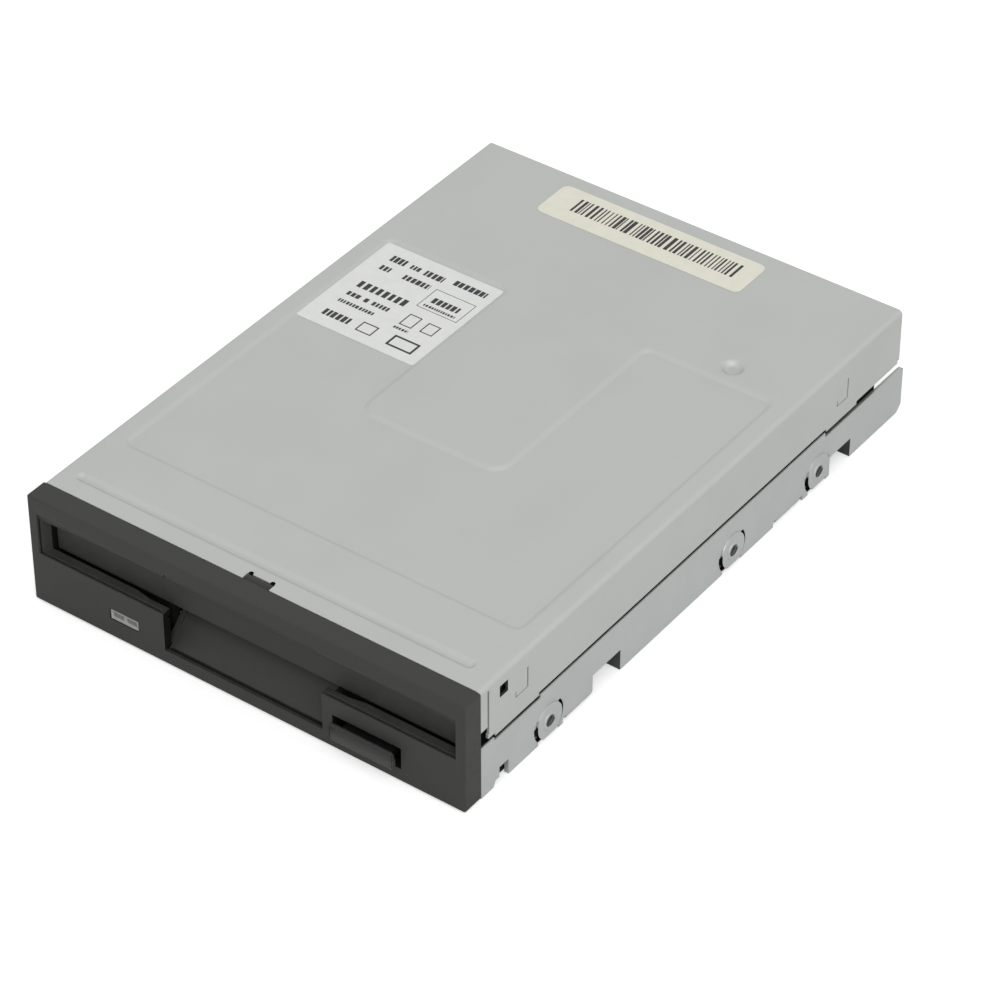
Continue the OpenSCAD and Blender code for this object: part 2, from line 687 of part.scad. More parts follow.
module door_spring() {
  r = door_pin_r + 0.4;
  ring = [for (p = coil_points(r, 4, 2.8, 8)) p];
  color("gainsboro") translate([4.6 - door_half, door_axis_y, door_axis_z])
    wire(concat([[-0.1, r, -4]], ring, [[2.9, r, 1.4]]), 0.15, 6);
}

module eject_button() {
  color("dimgray") difference() {
    soft_slab([button_at - button_half, button_at + button_half], [-button_proud, 6.8],
              [control_z - button_h / 2, control_z + button_h / 2], 0.5);
    bar_x(button_at - button_half + 0.9, button_at + button_half - 0.9, -button_proud - 4.35, control_z, 4.6);
    block([button_at - 3, button_at + 3], [3, 8], tongue_z);
  }
}

module lamp_window() {
  color("whitesmoke") {
    block([lamp_at - lamp_half, lamp_at + lamp_half], [0.1, 6.6], lamp_z);
    block([lamp_at - 2.4, lamp_at + 2.4], [6.5, 8.8], [control_z - 0.7, control_z + 0.9]);
  }
}

module indicator_lamp() {
  color("palegreen") {
    block([lamp_at - 2.5, lamp_at + 2.5], [9.2, 13.6], [floor_z, control_z + 1.1]);
    bar_y(8.9, 9.3, lamp_at, (floor_z + control_z + 1.1) / 2, 0.7);
  }
}

module lamp_board() {
  color("darkgreen") block([lamp_at - 5.5, lamp_at + 5.5], [9.4, 23], [floor_z - 1, floor_z]);
}

module large_label() {
  color("white") rise(cover_top - panel_depth, cover_top - panel_depth + label_t)
    round_area([0.4 - panel_x, -tongue_half - 0.4], [panel_rear - 31, panel_rear - 0.9], 0.5);
}

module small_label() {
  color("ivory") rise(cover_top, cover_top + label_t)
    round_area([-28.3 * wide, 21 * wide], [cover_rear - 14.4, cover_rear - 3.4], 1.6);
}

// Disc loading: slider, holder, shutter lever

module eject_slider() {
  color("lightsteelblue") {
    rise(slider_z, slider_top) {
      area([-slider_half, slider_half], [20, 27]);
      for (side = [0, 1]) {
        mirror([side, 0]) area([slider_leg_in, slider_half], [20, slider_rear]);
      }
      area([button_at - 3, button_at + 3], [14.2, 21]);
    }
    block([button_at - 3, button_at + 3], [14.2, 14.2 + slider_sheet], [tongue_z[0], slider_top]);
    block([button_at - 3, button_at + 3], [3.2, 14.3], tongue_z);
    both_sides() {
      difference() {
        block([slider_in, slider_half], [24, slider_rear], [slider_z, slot_mid + 3]);
        for (y = cam_depths) {
          across(slider_in - 1, slider_half + 1)
            slot_area([y - press_travel - 0.1, slot_mid + (press_travel + 0.1) * cam_slope],
                      [y + eject_travel + 0.1, slot_mid - load_drop - 0.1 * cam_slope],
                      cam_pin_r + slide_clear);
        }
      }
      block([spring_x - 1.2, slider_leg_in + 1], [spring_tab_y + 0.4, spring_tab_y + 1.2],
            [spring_z - 0.8, slider_top]);
    }
  }
}

module eject_springs() {
  color("gainsboro") both_sides() translate([spring_x, spring_post_y - 0.2, spring_z]) rotate([0, 0, 90])
    pull_spring(spring_tab_y - spring_post_y + 0.4, 15, spring_coil_r, spring_wire_r);
}

module disc_holder() {
  color("lightgray") {
    rise(holder_roof, holder_top) difference() {
      area([-holder_half, holder_half], [holder_front, holder_rear]);
      area([-11, 11], [spindle_depth + 18, holder_rear + 1]);
      translate([0, spindle_depth - 6]) circle(r = 14);
      translate([lever_x, lever_y]) circle(r = lever_pivot_r);
      translate([lever_x, lever_y]) lever_window();
      for (s = [-1, 1]) {
        round_area([s * 34 - 5, s * 34 + 5], [20, 34], 2);
      }
    }
    both_sides() {
      difference() {
        block([holder_in, holder_half], [holder_front, holder_rear], [holder_z, holder_top]);
        for (y = cam_depths) {
          bar_x(holder_in - 1, holder_half + 1, y, slot_mid, cam_pin_r);
        }
      }
      block([holder_half - rail_w, holder_half], [holder_front, holder_rear], [holder_z, channel_z]);
      block([holder_half - rail_w - 4, holder_half], [holder_rear - holder_sheet, holder_rear],
            [holder_z, holder_top]);
    }
    block([1.9 - holder_half, 5.3 - holder_half], [spindle_depth + 15, spindle_depth + 15.6],
          [holder_top - 0.1, holder_top + 2]);
  }
}

// Window that the lever's pin sweeps
module lever_window() {
  difference() {
    circle(r = lever_len + 1.6);
    circle(r = lever_len - 1.6);
    rotate(lever_rest - 5) translate([-40, -40]) square([80, 40]);
    rotate(lever_rest + lever_swing + 5) translate([-40, 0]) square([80, 40]);
    translate([-60, -40]) square([60, 80]);
  }
}

module holder_pins() {
  color("gainsboro") both_sides() for (y = cam_depths) {
    bar_x(holder_in, guide_half + 0.4, y, slot_mid, cam_pin_r);
  }
}

module shutter_lever() {
  color("lightsteelblue") translate([lever_x, lever_y, 0]) rotate([0, 0, lever_rest]) difference() {
    rise(lever_z, lever_top) {
      circle(r = 3.4);
      slot_area([0, 0], [lever_len, 0], 2);
      rotate(142) slot_area([0, 0], [6, 0], 1.5);
    }
    bar_z(lever_z - 1, lever_top + 1, 0, 0, lever_pivot_r + run_clear);
    bar_z(lever_z - 1, lever_top + 1, lever_len, 0, 0.8);
  }
}

module shutter_pin() {
  color("gainsboro") {
    bar_z(lever_z, lever_top + 0.3, tip_x, tip_y, 0.8);
    bar_z(channel_z + 0.5, lever_z, tip_x, tip_y, 1.2);
  }
}

module lever_rivet() {
  color("gainsboro") {
    bar_z(holder_roof, lever_top + 0.2, lever_x, lever_y, lever_pivot_r);
    bar_z(lever_top + 0.1, lever_top + 0.6, lever_x, lever_y, lever_pivot_r + 1.2);
  }
}

module lever_spring() {
  a = lever_rest + 142;
  from = [lever_x + 6 * cos(a) - 1, lever_y + 6 * sin(a), lever_top + 0.9];
  to = [3.6 - holder_half, spindle_depth + 16.1, lever_top + 0.6];
  color("gainsboro") translate(from) rotate([0, 0, atan2(to[1] - from[1], to[0] - from[0])])
    pull_spring(norm([to[0] - from[0], to[1] - from[1]]), 12, 0.6, 0.13);
}

// Spindle motor

module spindle_bearing() {
  color("peru") translate([0, spindle_depth, 0]) difference() {
    union() {
      bar_z(floor_z - 1.8, yoke_under - 0.3, 0, 0, bearing_r);
      bar_z(floor_z - 0.8, floor_z, 0, 0, bearing_r + 3.4);
    }
    bar_z(floor_z - 1.2, yoke_top, 0, 0, shaft_r + run_clear);
  }
}

module spindle_shaft() {
  color("gainsboro") bar_z(floor_z - 1, hub_top + 2.2, 0, spindle_depth, shaft_r);
}

module rotor_yoke() {
  color("silver") translate([0, spindle_depth, 0]) difference() {
    bar_z(motor_board_top + 0.4, yoke_top, 0, 0, rotor_r);
    bar_z(motor_board_top - 1, yoke_under, 0, 0, rotor_r - 0.8);
    bar_z(yoke_under - 1, yoke_top + 1, 0, 0, shaft_r);
    for (a = [0:60:300]) {
      rotate([0, 0, a]) bar_z(yoke_under - 1, yoke_top + 1, rotor_r - 5, 0, 1.5);
    }
  }
}

module rotor_magnet() {
  color("dimgray") translate([0, spindle_depth, 0]) difference() {
    bar_z(motor_board_top + 0.4, yoke_under, 0, 0, rotor_r - 0.8);
    bar_z(motor_board_top - 1, yoke_under + 1, 0, 0, rotor_r - 3);
  }
}

module hub_plate() {
  color("dimgray") translate([0, spindle_depth, 0]) difference() {
    bar_z(yoke_top, hub_top, 0, 0, 12);
    bar_z(yoke_top - 1, hub_top + 1, 0, 0, shaft_r);
    bar_z(yoke_top - 1, hub_top + 1, 8.5, 0, 1.1);
  }
}

module drive_pin() {
  color("gainsboro") bar_z(yoke_top, hub_top + 1.2, 8.5, spindle_depth, 1.1);
}

module stator_core() {
  z = [motor_board_top + 0.8, motor_board_top + 1.6];
  color("slategray") translate([0, spindle_depth, 0]) rise(z[0], z[1]) difference() {
    union() {
      circle(r = bearing_r + 3.4);
      for (i = [0:stator_teeth - 1]) {
        rotate(360 * i / stator_teeth) {
          area([bearing_r + 2, rotor_r - 4.2], [-1.2, 1.2]);
          area([rotor_r - 5.2, rotor_r - 3.8], [-2.6, 2.6]);
        }
      }
    }
    circle(r = bearing_r);
  }
}

module stator_coils() {
  color("chocolate") translate([0, spindle_depth, 0]) for (i = [0:stator_teeth - 1]) {
    rotate([0, 0, 360 * i / stator_teeth]) difference() {
      block([bearing_r + 4.4, rotor_r - 5.5], [-2.1, 2.1], [motor_board_top + 0.2, motor_board_top + 2.2]);
      block([bearing_r + 4, rotor_r - 5], [-1.2, 1.2], [motor_board_top + 0.8, motor_board_top + 1.6]);
    }
  }
}

function motor_screw_places() = [[24, spindle_depth - 18], [-24, spindle_depth - 18],
                                 [24, spindle_depth + 17]];

module motor_board() {
  color("darkgreen") rise(floor_top, motor_board_top) difference() {
    round_area([-28, 28], [spindle_depth - 25, spindle_depth + 21], 2);
    translate([0, spindle_depth]) circle(r = bearing_r);
    for (p = motor_screw_places()) {
      translate(p) circle(r = 1.1);
    }
  }
}

module screw(p, z, r, head_r, head_h, shank) {
  difference() {
    union() {
      bar_z(z, z + head_h, p[0], p[1], head_r);
      bar_z(z - shank, z + 0.1, p[0], p[1], r);
    }
    for (a = [0, 90]) {
      translate([p[0], p[1], z + head_h - 0.35]) rotate([0, 0, a + 20])
        block([-head_r * 0.6, head_r * 0.6], [-0.25, 0.25], [0, 1]);
    }
  }
}

module motor_board_screws() {
  color("gainsboro") for (p = motor_screw_places()) {
    screw(p, motor_board_top, 1.1, 2, 0.9, motor_board_t);
  }
}

// Heads and their drive

module head_carriage() {
  color("ivory") {
    difference() {
      union() {
        block([-13, 13], [behind(2.4), behind(22)], [carriage_z, carriage_top]);
        block([-11, 11], [behind(21), carriage_rear], [carriage_z, carriage_top]);
        block([-4, 4], [head_y - 2.4, behind(3)], [carriage_z, carriage_top]);
        block([-3.5, 3.5], [head_y - 2.4, head_y + 2.4], [carriage_top - 0.1, carriage_top + 1.4]);
        for (run = [3, 15]) {
          bar_y(behind(run), behind(run + 4), rod_x_place, rod_z_place, rod_r + 0.7);
          block([12.9, rod_x_place], [behind(run), behind(run + 4)], [carriage_z, rod_z_place + rod_r + 0.7]);
        }
        block([-screw_x + screw_r + 2, -12.9], [behind(12.5), behind(18.5)], [carriage_z, carriage_top]);
        both_sides() block([9, 11], [arm_y - 3, arm_y + 3], [carriage_top - 0.1, arm_z + 2]);
      }
      bar_y(head_y, behind(34), rod_x_place, rod_z_place, rod_r + run_clear);
      bar_x(-12, 12, arm_y, arm_z, 1);
      bar_x(-screw_x + screw_r + 1, -12, needle_y, screw_z, 0.5);
      block([-8, 8], [behind(8), behind(24)], [carriage_z - 1, carriage_z + 1.4]);
    }
  }
}

module lower_head() {
  color("dimgray") block([-2.2, 2.2], [head_y - 2, head_y + 2], [carriage_top + 1.4, carriage_top + 2.2]);
}

module carriage_needle() {
  color("gainsboro") {
    bar_x(-screw_x + screw_r + 0.25, -12, needle_y, screw_z, 0.5);
    bar_x(-screw_x + screw_r - 0.25, -screw_x + screw_r + 0.3, needle_y, screw_z, 0.2);
  }
}

module lifted_arm() {
  translate([0, arm_y, arm_z]) rotate([-arm_lift, 0, 0]) translate([0, -arm_y, -arm_z]) children();
}

module head_arm() {
  color("ivory") lifted_arm() {
    rise(arm_z - 0.7, arm_z + 0.7)
      polygon([[-8.6, arm_y], [-8.6, arm_y - 8], [-4, head_y - 2.2],
               [4, head_y - 2.2], [8.6, arm_y - 8], [8.6, arm_y]]);
    bar_x(-8.6, 8.6, arm_y, arm_z, 1.5);
    bar_x(-10.9, 10.9, arm_y, arm_z, 1 - run_clear);
    block([-1, 1], [head_y + 3, arm_y - 2], [arm_z + 0.6, arm_z + 1.5]);
  }
}

module upper_head() {
  color("dimgray") lifted_arm()
    block([-2.2, 2.2], [head_y - 2, head_y + 2], [carriage_top + 2.3, arm_z - 0.7]);
}

module head_cable() {
  z = carriage_z + 1.4;
  bend = (z - 0.1 - board_top - 0.1) / 2;
  bend_y = data_pin_front - cable_clear - bend - 0.1;
  color("orange") across(1, 8) {
    area([carriage_rear, bend_y], [z - 0.1, z + 0.1]);
    translate([bend_y, z - bend]) difference() {
      circle(r = bend + 0.1);
      circle(r = bend - 0.1);
      area([-9, 0], [-9, 9]);
    }
    area([carriage_rear, bend_y], [board_top, board_top + 0.2]);
  }
}

module lead_screw() {
  run = bracket_y - 1 - screw_front;
  color("gainsboro") translate([-screw_x, screw_front, screw_z]) rotate([-90, 0, 0]) {
    rotate([0, 0, screw_phase()]) linear_extrude(height = run, twist = -360 * run / screw_lead,
        slices = ceil(run / screw_lead * 8), $fn = 16)
      difference() {
        circle(r = screw_r, $fn = 16);
        translate([screw_r, 0]) square([0.9, 1.1], center = true);
      }
    translate([0, 0, -1.8]) cylinder(r = 0.8, h = 2);
    translate([0, 0, run - 0.2]) cylinder(r = 0.9, h = 2.2);
  }
}

// Turn that brings the groove to the needle at rest
function screw_phase() = -360 * (needle_y - screw_front) / screw_lead;

module screw_bearing() {
  color("ivory") difference() {
    bar_y(screw_front - 1.9, screw_front - 0.2, -screw_x, screw_z, 1.9);
    bar_y(screw_front - 3, screw_front, -screw_x, screw_z, 0.8 + run_clear);
  }
}

module stepper_motor() {
  color("silver") difference() {
    union() {
      bar_y(bracket_y + chassis_sheet, bracket_y + chassis_sheet + stepper_run, -screw_x, screw_z, stepper_r);
      bar_y(bracket_y, bracket_y + 2, -screw_x, screw_z, 2.4);
      block([-screw_x - 4, -screw_x + 4], [bracket_y + 3, bracket_y + stepper_run - 1],
            [screw_z + stepper_r - 1.5, screw_z + stepper_r + 0.8]);
    }
    bar_y(bracket_y - 2, bracket_y + 4, -screw_x, screw_z, 0.9 + run_clear);
  }
}

function bracket_screw_places() = [[-screw_x - 3.6, screw_front + 8], [-screw_x - 3.6, bracket_y - 6]];

module stepper_bracket() {
  color("lightsteelblue") difference() {
    union() {
      block([-screw_x - 6, -screw_x + 1.6], [screw_front - 2.2, bracket_y + chassis_sheet],
            [floor_top, floor_top + chassis_sheet]);
      block([-screw_x - 3, -screw_x + 3], [screw_front - 1.6, screw_front - 0.6], [floor_top, screw_z + 2]);
      block([-screw_x - 6, -screw_x + 6], [bracket_y, bracket_y + chassis_sheet],
            [floor_top, screw_z + stepper_r]);
    }
    bar_y(screw_front - 4, screw_front, -screw_x, screw_z, 1.9);
    bar_y(bracket_y - 1, bracket_y + 3, -screw_x, screw_z, 2.4);
    for (p = bracket_screw_places()) {
      bar_z(floor_top - 1, floor_top + 3, p[0], p[1], 1);
    }
  }
}

module bracket_screws() {
  color("gainsboro") for (p = bracket_screw_places()) {
    screw(p, floor_top + chassis_sheet, 1, 1.8, 0.8, chassis_sheet);
  }
}

module guide_rod() {
  color("gainsboro") bar_y(rod_front, rod_rear, rod_x_place, rod_z_place, rod_r);
}

function clamp_depths() = [rod_front + 0.3, rod_rear - 0.3 - clamp_run];

module rod_clamps() {
  color("lightsteelblue") for (y = clamp_depths()) {
    difference() {
      union() {
        block([rod_x_place - rod_r - 1, rod_x_place + rod_r + 1], [y, y + clamp_run],
              [floor_top, rod_z_place + rod_r + 0.6]);
        block([rod_x_place, rod_x_place + 8], [y, y + clamp_run], [floor_top, floor_top + 1]);
      }
      bar_y(y - 1, y + clamp_run + 1, rod_x_place, rod_z_place, rod_r);
      bar_z(floor_top - 1, floor_top + 2, rod_x_place + 5.7, y + clamp_run / 2, 0.9);
    }
  }
}

module clamp_screws() {
  color("gainsboro") for (y = clamp_depths()) {
    screw([rod_x_place + 5.7, y + clamp_run / 2], floor_top + 1, 0.9, 1.5, 0.8, 1);
  }
}

// Board and connectors

module main_board() {
  color("darkgreen") rise(board_z, board_top) difference() {
    area([-board_edge, board_edge], [board_front, board_rear]);
    area([-screw_x - stepper_r - 1, -screw_x + stepper_r + 1],
         [bracket_y - 0.5, bracket_y + stepper_run + 2]);
    for (p = board_screw_places()) {
      translate(p) circle(r = 1.4);
    }
  }
}

module board_screws() {
  color("gainsboro") for (p = board_screw_places()) {
    translate([0, 0, board_z]) mirror([0, 0, 1]) screw(p, 0, 1.2, 2.4, 1, board_t + 1.6);
  }
}

module controller_chip() {
  color("dimgray") {
    block([-8, 6], [board_front + 14, board_front + 28], [board_z - 1.4, board_z - 0.15]);
    for (i = [0:7], s = [0, 1]) {
      y = board_front + (s == 0 ? 12.6 : 27.9);
      block([-7.3 + i * 1.74, -6.8 + i * 1.74], [y, y + 1.5], [board_z - 0.7, board_z]);
    }
  }
}

module driver_chip() {
  color("dimgray") {
    block([16, 25], [board_front + 22, board_front + 28], [board_z - 1.4, board_z - 0.15]);
    for (i = [0:5], s = [0, 1]) {
      y = board_front + (s == 0 ? 20.8 : 27.9);
      block([16.5 + i * 1.5, 17 + i * 1.5], [y, y + 1.3], [board_z - 0.7, board_z]);
    }
  }
}

module board_capacitors() {
  color("tan") for (p = [[-28, 12], [-22, 12], [-28, 24], [12, 10], [28, 14]]) {
    block([p[0], p[0] + 3.2], [board_front + p[1], board_front + p[1] + 1.6], [board_z - 1.1, board_z]);
  }
}

module data_connector() {
  color("dimgray") difference() {
    block([data_x - data_half, data_x + data_half], [board_rear - 3 * rear_scale, body_depth - 0.3],
          [board_top, board_top + 8.8]);
    block([data_x - data_half + 1.2, data_x + data_half - 1.2], [plug_floor, body_depth + 1],
          [board_top + 1.2, board_top + 7.6]);
    block([data_x - 2.3, data_x + 2.3], [board_rear, body_depth + 1], [board_top + 7, board_top + 9]);
    data_pins_solid();
  }
}

module data_pins_solid() {
  for (i = [0:data_columns - 1], row = [0, 1]) {
    x = data_x + data_pitch * (i - (data_columns - 1) / 2);
    z = data_mid_z + data_pitch * (row - 0.5);
    y = data_pin_front + (1 - row) * 1.8 * rear_scale;
    block([x - 0.32, x + 0.32], [y, body_depth - 1.6], [z - 0.32, z + 0.32]);
    block([x - 0.32, x + 0.32], [y, y + 0.64], [board_top, z]);
  }
}

module data_pins() {
  color("goldenrod") data_pins_solid();
}

module power_connector() {
  color("ivory") difference() {
    block([power_x - power_half, power_x + power_half], [board_rear - 2.5 * rear_scale, body_depth - 0.3],
          [board_top, board_top + 6.4]);
    block([power_x - power_half + 1, power_x + power_half - 1], [plug_floor, body_depth + 1],
          [board_top + 1, board_top + 7]);
    power_pins_solid();
  }
}

module power_pins_solid() {
  for (i = [0:3]) {
    x = power_x + power_pitch * (i - 1.5);
    block([x - 0.32, x + 0.32], [power_pin_front, body_depth - 1.4],
          [power_mid_z - 0.32, power_mid_z + 0.32]);
    block([x - 0.32, x + 0.32], [power_pin_front, power_pin_front + 0.64], [board_top, power_mid_z]);
  }
}

module power_pins() {
  color("goldenrod") power_pins_solid();
}

// Sensor switches

module switch_housings() {
  color("dimgray") for (x = switch_places) {
    difference() {
      block([x - 2, x + 2], [switch_y - 2.2, switch_y + 2.2], [floor_top, switch_top]);
      bar_z(floor_top + 0.6, switch_top + 1, x, switch_y, 0.8 + run_clear);
    }
  }
}

module plunger(x) {
  color("ivory") bar_z(floor_top + 1.9, switch_top + 2.6, x, switch_y, 0.8);
}

module write_protect_plunger() {
  plunger(switch_places[0]);
}

module density_plunger() {
  plunger(switch_places[1]);
}

module disc_in_plunger() {
  plunger(switch_places[2]);
}

place() base_chassis();
place() top_cover();
place() front_bezel();
place() slot_door();
place() door_spring();
place() eject_button();
place() eject_slider();
place() eject_springs();
place() lamp_window();
place() indicator_lamp();
place() lamp_board();
place() large_label();
place() small_label();
place() disc_holder();
place() holder_pins();
place() shutter_lever();
place() shutter_pin();
place() lever_rivet();
place() lever_spring();
place() spindle_bearing();
place() spindle_shaft();
place() rotor_yoke();
place() rotor_magnet();
place() hub_plate();
place() drive_pin();
place() stator_core();
place() stator_coils();
place() motor_board();
place() motor_board_screws();
place() head_carriage();
place() lower_head();
place() carriage_needle();
place() head_arm();
place() upper_head();
place() head_cable();
place() lead_screw();
place() screw_bearing();
place() stepper_motor();
place() stepper_bracket();
place() bracket_screws();
place() guide_rod();
place() rod_clamps();
place() clamp_screws();
place() main_board();
place() board_screws();
place() controller_chip();
place() driver_chip();
place() board_capacitors();
place() data_connector();
place() data_pins();
place() power_connector();
place() power_pins();
place() switch_housings();
place() write_protect_plunger();
place() density_plunger();
place() disc_in_plunger();
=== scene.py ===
"""Looks of an internal 3.5 inch floppy disk drive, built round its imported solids.

Places are given in millimetres: x across the drive, t behind the bezel's front face, z above the table.
"""

import logging
import math
import random
from collections.abc import Callable, Iterator
from contextlib import contextmanager
from dataclasses import dataclass
from enum import Enum

import bmesh
import bpy
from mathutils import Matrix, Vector


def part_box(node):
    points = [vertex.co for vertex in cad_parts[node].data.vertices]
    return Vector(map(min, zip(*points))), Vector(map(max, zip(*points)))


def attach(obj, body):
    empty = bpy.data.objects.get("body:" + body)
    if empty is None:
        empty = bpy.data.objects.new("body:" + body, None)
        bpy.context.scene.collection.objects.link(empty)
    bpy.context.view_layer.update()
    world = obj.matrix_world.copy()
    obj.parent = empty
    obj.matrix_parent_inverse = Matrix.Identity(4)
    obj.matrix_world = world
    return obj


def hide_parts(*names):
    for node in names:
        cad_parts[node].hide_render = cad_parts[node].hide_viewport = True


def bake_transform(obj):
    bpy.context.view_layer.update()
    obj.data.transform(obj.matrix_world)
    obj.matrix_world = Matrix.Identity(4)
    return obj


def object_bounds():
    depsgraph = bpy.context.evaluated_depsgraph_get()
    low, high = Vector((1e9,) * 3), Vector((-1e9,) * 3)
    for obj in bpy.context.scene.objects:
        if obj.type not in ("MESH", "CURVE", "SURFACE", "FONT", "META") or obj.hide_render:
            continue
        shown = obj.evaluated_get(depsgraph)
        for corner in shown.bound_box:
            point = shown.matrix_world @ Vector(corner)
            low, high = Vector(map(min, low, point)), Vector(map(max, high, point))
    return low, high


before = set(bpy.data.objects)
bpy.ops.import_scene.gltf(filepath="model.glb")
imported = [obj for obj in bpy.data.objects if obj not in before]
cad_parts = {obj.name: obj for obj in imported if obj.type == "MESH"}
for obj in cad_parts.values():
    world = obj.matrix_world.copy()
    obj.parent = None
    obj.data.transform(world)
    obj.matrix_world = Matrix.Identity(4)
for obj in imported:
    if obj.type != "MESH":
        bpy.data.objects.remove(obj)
cad_low, cad_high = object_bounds()

log = logging.getLogger("floppy_drive")
MM = 0.001
FACE_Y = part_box("front_bezel")[0].y
# Shared sizes in millimetres, angles in degrees, and the margins of tests on places and directions
HOLE_DEPTHS = (25.7, 85.7, 115.7)
HOLE_HEIGHT = 4.0
INK_SINK = 0.004
WELD = 0.002
FLAT_ANGLE = 0.4
SMOOTH_ANGLE = 35
NEAR = 0.01
ALONG = 0.9
# Short names of types
Span = tuple[float, float]
Place = tuple[float, float, float]
Colour = tuple[float, float, float]
Test = Callable[[Vector, Vector], bool]
Thing = bpy.types.Object
Socket = bpy.types.NodeSocket


class Axis(Enum):
    """The way that a rod points, as the turn that lays an upright rod along it."""

    X = (0.0, math.pi / 2, 0.0)
    T = (math.pi / 2, 0.0, 0.0)
    Z = (0.0, 0.0, 0.0)


class Part(Enum):
    """What a selection picks in an open mesh."""

    FACE = "FACE"
    EDGE = "EDGE"
    VERT = "VERT"


# Bench tools


def at(x: float, t: float, z: float) -> Vector:
    """Turns a width, depth and height in millimetres into a place in the frame."""
    return Vector((x * MM, t * MM + FACE_Y, z * MM))


def clear_bench() -> None:
    """Leaves edit mode and deselects everything."""
    if bpy.context.mode != "OBJECT":
        bpy.ops.object.mode_set(mode="OBJECT")
    bpy.ops.object.select_all(action="DESELECT")


def take(thing: Thing) -> None:
    """Selects one object alone and makes it the active one.

    Args:
        thing: The object.
    """
    clear_bench()
    bpy.context.view_layer.objects.active = thing
    thing.select_set(True)


def mirrored(side: int, near: float, far: float) -> Span:
    """Returns a span right of the middle for side 1, or the same one left of it for side -1."""
    return tuple(sorted((side * near, side * far)))


def settle(name: str) -> Thing:
    """Names the new object and moves its place and size into its mesh.

    Args:
        name: Its name.

    Returns:
        The new object.
    """
    thing = bpy.context.active_object
    thing.name = thing.data.name = name
    bpy.ops.object.transform_apply(location=True, rotation=True, scale=True)
    return thing


def add_box(name: str, x: Span, t: Span, z: Span) -> Thing:
    """Adds a cube stretched over three spans.

    Args:
        name: Name of the new object.
        x: Span across the drive.
        t: Span in depth.
        z: Span in height.

    Returns:
        The new object.
    """
    clear_bench()
    low, high = at(x[0], t[0], z[0]), at(x[1], t[1], z[1])
    bpy.ops.mesh.primitive_cube_add(size=1, location=(low + high) / 2, scale=high - low)
    return settle(name)


def add_plane(name: str, x: Span, t: Span, z: float) -> Thing:
    """Adds a flat plane over two spans.

    Args:
        name: Name of the new object.
        x: Span across the drive.
        t: Span in depth.
        z: Height of the plane.

    Returns:
        The new object, facing up.
    """
    clear_bench()
    low, high = at(x[0], t[0], z), at(x[1], t[1], z)
    bpy.ops.mesh.primitive_plane_add(size=1, location=(low + high) / 2)
    bpy.context.active_object.scale = (high.x - low.x, high.y - low.y, 1)
    return settle(name)


def add_disc(name: str, centre: Vector, radius: float, sides: int = 32) -> Thing:
    """Adds a flat disc that faces up.

    Args:
        name: Name of the new object.
        centre: Its middle, in the frame.
        radius: Its radius in millimetres.
        sides: Corners round its edge.

    Returns:
        The new object.
    """
    clear_bench()
    bpy.ops.mesh.primitive_circle_add(vertices=sides, radius=radius * MM, fill_type="NGON", location=centre)
    return settle(name)


def add_rod(name: str, centre: Vector, radius: float, run: float, axis: Axis, sides: int = 32) -> Thing:
    """Adds a round rod.

    Args:
        name: Name of the new object.
        centre: Its middle, in the frame.
        radius: Its radius in millimetres.
        run: Its length in millimetres.
        axis: The way that it points.
        sides: Corners round its edge.

    Returns:
        The new object.
    """
    clear_bench()
    bpy.ops.mesh.primitive_cylinder_add(
        vertices=sides, radius=radius * MM, depth=run * MM, location=centre, rotation=axis.value)
    return settle(name)


@contextmanager
def open_mesh(thing: Thing) -> Iterator[None]:
    """Opens a mesh in edit mode with nothing selected, and closes it again.

    Args:
        thing: The piece whose mesh is opened.

    Yields:
        Nothing, while the mesh is open.
    """
    take(thing)
    bpy.ops.object.mode_set(mode="EDIT")
    bpy.ops.mesh.select_all(action="DESELECT")
    yield
    bpy.ops.object.mode_set(mode="OBJECT")


def pick(part: Part, test: Test) -> int:
    """Selects the parts of the open mesh that pass a test.

    Args:
        part: What to pick.
        test: Takes a place in millimetres (x, t, z) and a direction, which is a face's or a corner's
            normal or the way that an edge runs.

    Returns:
        How many were picked.
    """
    bpy.ops.mesh.select_mode(type=part.value)
    bpy.ops.mesh.select_all(action="DESELECT")
    data = bpy.context.edit_object.data
    mesh = bmesh.from_edit_mesh(data)
    mesh.normal_update()
    found = 0
    for item in {Part.FACE: mesh.faces, Part.EDGE: mesh.edges, Part.VERT: mesh.verts}[part]:
        if part is Part.FACE:
            place, facing = item.calc_center_median(), item.normal
        elif part is Part.EDGE:
            first, last = (corner.co for corner in item.verts)
            place, facing = (first + last) / 2, (last - first).normalized()
        else:
            place, facing = item.co, item.normal
        if test(Vector((place.x / MM, (place.y - FACE_Y) / MM, place.z / MM)), facing):
            item.select_set(True)
            found += 1
    mesh.select_flush_mode()
    bmesh.update_edit_mesh(data)
    return found


def pick_all(part: Part) -> None:
    """Selects the whole open mesh by its faces, edges or corners."""
    bpy.ops.mesh.select_mode(type=part.value)
    bpy.ops.mesh.select_all(action="SELECT")


def cut_through(place: Vector, facing: Place) -> None:
    """Cuts the whole open mesh along a plane at a place in the frame."""
    bpy.ops.mesh.select_all(action="SELECT")
    bpy.ops.mesh.bisect(plane_co=place, plane_no=facing)


def face_out() -> None:
    """Turns every face of the open mesh outwards."""
    bpy.ops.mesh.select_all(action="SELECT")
    bpy.ops.mesh.normals_make_consistent(inside=False)


def paint(thing: Thing, number: int, test: Test) -> None:
    """Gives the open mesh's faces that pass a test the finish in one of its slots.

    Args:
        thing: The piece whose mesh is open.
        number: The slot's number.
        test: The test, as pick() takes it.
    """
    pick(Part.FACE, test)
    thing.active_material_index = number
    bpy.ops.object.material_slot_assign()


